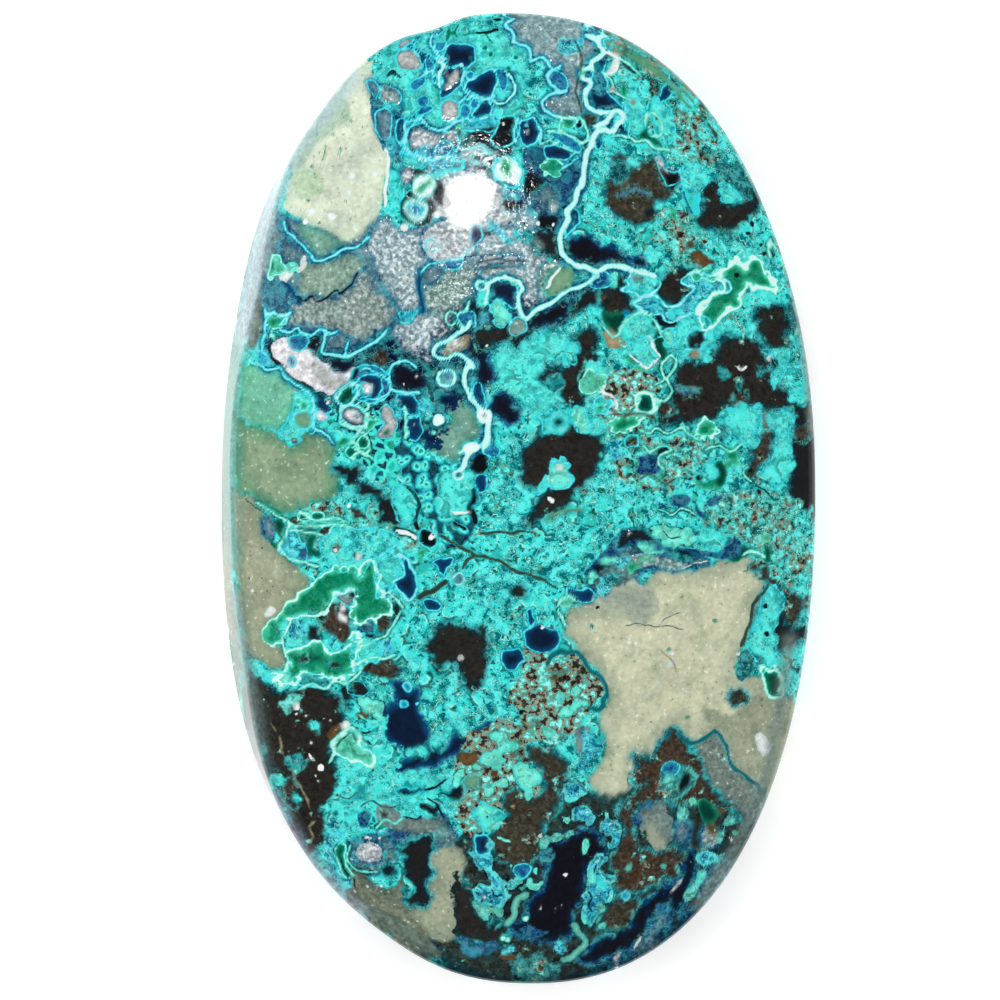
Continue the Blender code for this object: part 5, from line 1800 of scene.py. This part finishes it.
# %% [markdown]
# ## Undercutting
#
# Polishing wears the soft crusts and mossy turquoise faster than the quartz, so they end up to two hundredths of
# a millimetre lower. Points only move inwards, which keeps the stone within its gauge.

# %% Undercut the soft minerals
POLISH_LOSS = 0.004 * MM
UNDERCUT = 0.02 * MM
softness = np.clip(surface[:, 0] + 0.25 * surface[:, 1], 0.0, 1.0)
sunk = POLISH_LOSS + UNDERCUT * softness * (0.5 + 0.5 * picture_noise(pixels, 7, 91))
sunk[points[:, 2] < BACK_BEVEL_HEIGHT / 2] = 0.0
outward = np.zeros(points.size)
stone.data.vertex_normals.foreach_get("vector", outward)
worn = points - outward.reshape(-1, 3) * sunk[:, None]
stone.data.vertices.foreach_set("co", worn.ravel())
stone.data.update()
print("polishing took off up to", round(sunk.max() / MM, 4), "mm")

# %% [markdown]
# ## The polished finish
#
# The shader starts from the turquoise ground, which is chrysocolla mottled with green and freckled, then lays the
# three layers over it with slightly ragged edges. Cell noise makes salt-and-pepper, painted glints and grain where
# the texture attribute asks for them. Every pattern is in Object coordinates, so it stays with the stone.

# %% Helpers for the shader
PIXEL = MM / PIXELS_PER_MM
nodes, links = polish.node_tree.nodes, polish.node_tree.links
shader = nodes["Principled BSDF"]
coordinates = nodes.new("ShaderNodeTexCoord").outputs["Object"]


def noise(pixels_across, detail=2.0, roughness=0.5, shift=0.0):
    """Noise whose lumps are so many pixels across: its value, centred on 0.5."""
    node = nodes.new("ShaderNodeTexNoise")
    node.inputs["Scale"].default_value = 0.5 / (pixels_across * PIXEL)
    node.inputs["Detail"].default_value = detail
    node.inputs["Roughness"].default_value = roughness
    source = coordinates
    if shift:
        move = nodes.new("ShaderNodeMapping")
        move.inputs["Location"].default_value = (shift * PIXEL * 10, 0.0, 0.0)
        links.new(coordinates, move.inputs["Vector"])
        source = move.outputs["Vector"]
    links.new(source, node.inputs["Vector"])
    return node.outputs["Fac"]


def ramp(value, low, high, to_low=0.0, to_high=1.0):
    """Map a value from low..high to to_low..to_high, clamped."""
    node = nodes.new("ShaderNodeMapRange")
    links.new(value, node.inputs["Value"])
    for name, number in (("From Min", low), ("From Max", high), ("To Min", to_low), ("To Max", to_high)):
        node.inputs[name].default_value = number
    return node.outputs["Result"]


def maths(operation, first, second):
    """One sum of two values, each a socket or a number."""
    node = nodes.new("ShaderNodeMath")
    node.operation = operation
    for slot, value in zip(node.inputs, (first, second)):
        if isinstance(value, (int, float)):
            slot.default_value = value
        else:
            links.new(value, slot)
    return node.outputs[0]


def mixed(amount, under, over, blend="MIX"):
    """Two colours mixed, each a socket or an sRGB colour."""
    node = nodes.new("ShaderNodeMix")
    node.data_type = "RGBA"
    node.blend_type = blend
    for slot, value in zip((node.inputs[0], node.inputs[6], node.inputs[7]), (amount, under, over)):
        if isinstance(value, tuple):
            slot.default_value = (*linear(value), 1.0)
        elif isinstance(value, (int, float)):
            slot.default_value = value
        else:
            links.new(value, slot)
    return node.outputs[2]


def bands(value, stops, steps=False):
    """A colour for each range of a value: the stops are (value, sRGB colour); with steps there is no blending."""
    node = nodes.new("ShaderNodeValToRGB")
    node.color_ramp.interpolation = "CONSTANT" if steps else "LINEAR"
    elements = node.color_ramp.elements
    elements.remove(elements[1])
    elements[0].position = stops[0][0]
    elements[0].color = (*linear(stops[0][1]), 1.0)
    for place, colour in stops[1:]:
        elements.new(place).color = (*linear(colour), 1.0)
    links.new(value, node.inputs["Fac"])
    return node.outputs["Color"]


def cells(pixels_across, feature, output):
    """Crystal cells that many pixels across, with wavy walls: their distance or random colour."""
    node = nodes.new("ShaderNodeTexVoronoi")
    node.voronoi_dimensions = "2D"
    node.feature = feature
    node.inputs["Scale"].default_value = 1 / (pixels_across * PIXEL)
    links.new(wavy, node.inputs["Vector"])
    return node.outputs[output]


def first_part(colour):
    """The red part of a colour, as a number."""
    node = nodes.new("ShaderNodeSeparateColor")
    links.new(colour, node.inputs[0])
    return node.outputs[0]


def stored(name):
    """An attribute's colour and its fourth number."""
    node = nodes.new("ShaderNodeAttribute")
    node.attribute_name = name
    return node.outputs["Color"], node.outputs["Alpha"]


# %% Texture amounts
texture_colour, grain_amount = stored("texture")
texture_parts = nodes.new("ShaderNodeSeparateColor")
links.new(texture_colour, texture_parts.inputs[0])
pepper_amount, mottle_amount, painted_glint_amount = texture_parts.outputs

hair = noise(2.0, 1.0, 0.6)
fine = noise(2.2, 2.0, 0.6)
small = noise(4.6, 3.0, 0.65)
green = noise(7.5, 3.0, 0.62, 40.0)
broad = noise(15.0, 3.0, 0.62, 80.0)

# %% Lay the four layers over the turquoise ground
def ragged(amount):
    """How far the noise moves an edge, in parts of its softness."""
    return maths("MULTIPLY", maths("SUBTRACT", maths("ADD", small, maths("MULTIPLY", green, 0.7)), 0.85), amount)


def lay(name, amount, under):
    """A layer of paint over a colour, its edge moved by an amount of noise."""
    layer_colour, layer_cover = stored(name)
    return mixed(ramp(maths("ADD", layer_cover, ragged(amount)), -0.2, 0.2), under, layer_colour)


covered = lay("masses", 4.5, lay("areas", 2.2, (30, 204, 200)))

# %% Nets, bubbles and facets between the layers
wave = nodes.new("ShaderNodeTexNoise")
wave.inputs["Scale"].default_value = 0.5 / (5.0 * PIXEL)
links.new(coordinates, wave.inputs["Vector"])
waved = nodes.new("ShaderNodeVectorMath")
waved.operation = "MULTIPLY_ADD"
links.new(wave.outputs["Color"], waved.inputs[0])
waved.inputs[1].default_value = (9 * PIXEL,) * 3
links.new(coordinates, waved.inputs[2])
wavy = waved.outputs[0]

pattern_colour, facet_amount = stored("pattern")
pattern_parts = nodes.new("ShaderNodeSeparateColor")
links.new(pattern_colour, pattern_parts.inputs[0])
NAVY, BLUE, STEEL, CYAN, GREEN = (14, 34, 66), (14, 96, 150), (110, 136, 150), (50, 225, 225), (20, 150, 120)
net_cells = bands(first_part(cells(15.0, "F1", "Color")), (
    (0.0, NAVY), (0.35, BLUE), (0.55, (34, 200, 205)), (0.8, STEEL), (0.9, (20, 60, 100))), True)
net_border = cells(15.0, "DISTANCE_TO_EDGE", "Distance")
net_wall = ramp(net_border, 0.17, 0.10)
net_edge = ramp(net_border, 0.30, 0.17)
net = mixed(net_wall, mixed(net_edge, net_cells, (14, 120, 165)), CYAN)
comb_cells = bands(first_part(cells(9.0, "F1", "Color")), (
    (0.0, (12, 66, 100)), (0.3, (16, 110, 130)), (0.5, GREEN), (0.65, (34, 200, 190)), (0.85, NAVY)), True)
comb_wall = ramp(cells(9.0, "DISTANCE_TO_EDGE", "Distance"), 0.24, 0.14)
comb = mixed(comb_wall, comb_cells, (70, 232, 215))
bead_place = cells(11.0, "F1", "Distance")
beads = bands(bead_place, (
    (0.0, (20, 110, 110)), (0.14, (30, 170, 160)), (0.2, (120, 248, 235)), (0.36, (50, 225, 222)), (0.52, (20, 130, 160)), (0.62, (12, 50, 70))))
for amount, picture in zip(pattern_parts.outputs, (net, comb, beads)):
    shown = ramp(maths("ADD", amount, ragged(0.6)), 0.42, 0.58)
    covered = mixed(shown, covered, picture)
facet_tone = bands(first_part(cells(46.0, "F1", "Color")), ((0.0, (240, 240, 240)), (0.5, (250, 250, 250)), (1.0, (255, 255, 255))))
facet_line = ramp(cells(46.0, "DISTANCE_TO_EDGE", "Distance"), 0.02, 0.0, 0.0, 0.35)
facet_line = maths("MULTIPLY", facet_line, ramp(green, 0.48, 0.56))
faceted = mixed(facet_line, mixed(1.0, covered, facet_tone, "MULTIPLY"), mixed(0.6, covered, (235, 240, 225)))
clouding = bands(broad, ((0.38, (224, 230, 226)), (0.5, (250, 252, 246)), (0.6, (255, 255, 250))))
faceted = mixed(1.0, faceted, clouding, "MULTIPLY")
faceted = mixed(ramp(fine, 0.655, 0.71, 0.0, 0.5), faceted, (246, 248, 240))
faceted = mixed(ramp(fine, 0.34, 0.28, 0.0, 0.5), faceted, (70, 84, 66))
covered = mixed(facet_amount, covered, faceted)
covered = lay("chips", 2.2, covered)

# %% Mottling: clouds from dark teal to pale cyan, green and brown patches, and dark specks with pale outlines
base = covered
mottled = mixed(ramp(broad, 0.47, 0.40), base, mixed(1.0, base, (90, 180, 190), "MULTIPLY"))
mottled = mixed(ramp(green, 0.55, 0.60, 0.0, 0.85), mottled, mixed(1.0, base, (90, 205, 165), "MULTIPLY"))
mottled = mixed(ramp(broad, 0.52, 0.56, 0.0, 0.8), mottled, mixed(0.6, base, (60, 246, 240)))
mottled = mixed(ramp(small, 0.50, 0.57), mottled, mixed(0.7, base, (110, 255, 250)))
mottled = mixed(ramp(small, 0.44, 0.41, 0.0, 0.85), mottled, mixed(1.0, base, (60, 130, 150), "MULTIPLY"))
outline_width = maths("ABSOLUTE", maths("SUBTRACT", small, 0.452), 0.0)
mottled = mixed(ramp(outline_width, 0.012, 0.004, 0.0, 0.8), mottled, (130, 250, 240))
lump = cells(17.0, "F1", "Distance")
lumps = bands(lump, (
    (0.0, (60, 225, 215)), (0.34, (76, 246, 236)), (0.40, (176, 255, 244)), (0.45, (30, 140, 130)),
    (0.56, (8, 70, 76)), (0.66, (40, 190, 180))))
mottled = mixed(ramp(maths("ADD", green, maths("MULTIPLY", broad, 0.8)), 0.94, 1.0, 0.0, 0.9), mottled, lumps)
band_edge = maths("ABSOLUTE", maths("SUBTRACT", broad, 0.47), 0.0)
mottled = mixed(ramp(band_edge, 0.022, 0.008, 0.0, 0.7), mottled, (10, 96, 96))
mottled = mixed(ramp(band_edge, 0.008, 0.003, 0.0, 0.9), mottled, (150, 255, 240))
mottled = mixed(ramp(fine, 0.64, 0.69, 0.0, 0.55), mottled, (130, 165, 120))
mottled = mixed(ramp(fine, 0.37, 0.32, 0.0, 0.9), mottled, (10, 52, 62))
covered = mixed(mottle_amount, covered, mottled)

# %% Crust: brown, black, tan and turquoise grains with pale outlines, in patches
crumbs = noise(3.4, 3.0, 0.6, 120.0)
crust = bands(crumbs, (
    (0.33, (34, 38, 36)), (0.41, (50, 56, 50)), (0.45, (104, 86, 66)), (0.50, (150, 138, 112)),
    (0.53, (96, 168, 150)), (0.56, (40, 196, 186)),
    (0.62, (150, 250, 238))))
crust = mixed(ramp(maths("ABSOLUTE", maths("SUBTRACT", crumbs, 0.475), 0.0), 0.010, 0.003, 0.0, 0.8), crust, (190, 232, 215))
crust = mixed(ramp(broad, 0.42, 0.36, 0.0, 0.6), crust, mixed(1.0, crust, (100, 100, 90), "MULTIPLY"))
patches = maths("ADD", green, maths("MULTIPLY", pepper_amount, 0.5))
covered = mixed(ramp(patches, 0.70, 0.78), covered, crust)

# %% Seams on top, pale along their middles
seam_colour, seam_left = stored("seams")
seam_right = nodes.new("ShaderNodeAttribute")
seam_right.attribute_name = "seam_side"
seam_cover = maths("MINIMUM", seam_left, seam_right.outputs["Fac"])
seam_cover = maths("ADD", seam_cover, maths("MULTIPLY", maths("SUBTRACT", fine, 0.5), 0.7))
green_part = nodes.new("ShaderNodeSeparateColor")
links.new(seam_colour, green_part.inputs[0])
middle = maths("MULTIPLY", ramp(seam_cover, 0.3, 0.8, 0.0, 0.85), ramp(green_part.outputs[1], 0.5, 0.95))
seam_lit = mixed(middle, seam_colour, (235, 255, 252))
covered = mixed(ramp(seam_cover, -0.25, 0.3), covered, seam_lit)

# %% Painted rim light and shade, then painted glints and grain
rim_paint_colour, rim_paint_amount = stored("rim_light_and_shade")
# Mix in the painted rim reflections and shade
covered = mixed(rim_paint_amount, covered, rim_paint_colour)
# Painted glints: light and dark flecks stand in for light glinting off quartz grains, partly their own white colour
painted_glints = bands(hair, (
    (0.36, (50, 66, 78)), (0.45, (104, 132, 142)), (0.52, (150, 176, 182)), (0.58, (214, 226, 228)), (0.62, (250, 252, 252))))
covered = mixed(painted_glint_amount, covered, mixed(0.35, painted_glints, covered))
spread = maths("MULTIPLY", maths("SUBTRACT", maths("ADD", fine, small), 1.0), 1.3)
grainy = maths("ADD", maths("MULTIPLY", spread, grain_amount), 0.92)
lit = nodes.new("ShaderNodeVectorMath")
lit.operation = "SCALE"
links.new(covered, lit.inputs[0])
links.new(grainy, lit.inputs["Scale"])
links.new(lit.outputs[0], shader.inputs["Base Color"])

# %% Gloss
shader.inputs["Roughness"].default_value = 0.1
shader.inputs["IOR"].default_value = 1.5
shader.inputs["Coat Weight"].default_value = 0.3
shader.inputs["Coat Roughness"].default_value = 0.05
bump = nodes.new("ShaderNodeBump")
bump.inputs["Strength"].default_value = 1.0
bump.inputs["Distance"].default_value = 0.00004
pit_amount = nodes.new("ShaderNodeAttribute")
pit_amount.attribute_name = "pits"
pitting = maths("ADD", maths("MULTIPLY", pit_amount.outputs["Fac"], 4.0), 0.04)
links.new(maths("MULTIPLY", small, pitting), bump.inputs["Height"])
links.new(bump.outputs[0], shader.inputs["Normal"])
print(len(nodes), "shader nodes")

# %% Shade smooth, with the bevel's edges sharp
stone.data.shade_smooth()
stone.data.set_sharp_from_angle(angle=math.radians(35))
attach(stone, "root")
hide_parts("cabochon")

# %% [markdown]
# ## The studio
#
# The stone lies on a plain white table in a light tent. One small lamp, a little above the camera's view, gives
# the bright patch on the dome; it is placed by the mirror rule from the spot where the photograph shows it.

# %% Table
table_mesh = bpy.data.meshes.new("white_table")
TABLE = 1.2
table_mesh.from_pydata(
    [(-TABLE, -TABLE, 0), (TABLE, -TABLE, 0), (TABLE, TABLE, 0), (-TABLE, TABLE, 0)], [], [(0, 1, 2, 3)]
)
table = bpy.data.objects.new("white_table", table_mesh)
table.location.z = -0.00002
bpy.context.scene.collection.objects.link(table)
paper = bpy.data.materials.new("white_paper")
paper.use_nodes = True
paper.node_tree.nodes["Principled BSDF"].inputs["Base Color"].default_value = (0.97, 0.97, 0.97, 1.0)
paper.node_tree.nodes["Principled BSDF"].inputs["Roughness"].default_value = 0.9
paper.node_tree.nodes["Principled BSDF"].inputs["Emission Color"].default_value = (1.0, 1.0, 1.0, 1.0)
paper.node_tree.nodes["Principled BSDF"].inputs["Emission Strength"].default_value = 0.3
table_mesh.materials.append(paper)

# %% Light tent
world = bpy.data.worlds.new("light_tent")
bpy.context.scene.world = world
world.use_nodes = True
tent = world.node_tree
sky_node = tent.nodes["Background"]
sky_node.inputs["Color"].default_value = (1.0, 1.0, 1.0, 1.0)
sky_node.inputs["Strength"].default_value = 0.42
world.cycles_visibility.glossy = False
bpy.context.scene.view_settings.view_transform = "Standard"


def lamp(name, place, aim, size, power, shiny):
    """A rectangular lamp at a place, turned towards a point; a shiny one shows in the gloss alone."""
    data = bpy.data.lights.new(name, "AREA")
    data.shape = "ELLIPSE" if shiny else "RECTANGLE"
    data.size, data.size_y = size
    data.energy = power
    light = bpy.data.objects.new(name, data)
    light.location = place
    light.rotation_euler = (Vector(aim) - Vector(place)).to_track_quat("-Z", "Y").to_euler()
    light.visible_glossy = shiny
    light.visible_diffuse = not shiny
    bpy.context.scene.collection.objects.link(light)
    return light


TENT_SIDES = {"left": (-0.9, 0.0, 4.8), "right": (0.9, 0.0, 3.6), "top": (0.0, 0.9, 4.8), "bottom": (0.0, -0.9, 3.6)}
for side, (x, y, power) in TENT_SIDES.items():
    lamp(f"tent_{side}", (x, y, 0.5), (0.0, 0.0, 0.0), (0.9, 0.5), power, False)

# %% The bright patch
PATCH_PIXEL = (470.0, 197.0)
crown_pixels = seen[:crown_count]
patch = int(np.argmin(np.hypot(*(crown_pixels - PATCH_PIXEL).T)))
patch_normal = np.array(stone.data.vertices[patch].normal)
patch_place = points[patch]
to_camera = np.array(camera.location) - patch_place
to_camera = to_camera / np.linalg.norm(to_camera)
mirrored = 2 * patch_normal.dot(to_camera) * patch_normal - to_camera
PATCH_DISTANCE = 0.5
lamp("patch_lamp", patch_place + mirrored * PATCH_DISTANCE, patch_place, (0.085, 0.058), 0.7, True)
print("patch lamp leans", round(math.degrees(math.acos(mirrored[2]))), "degrees")
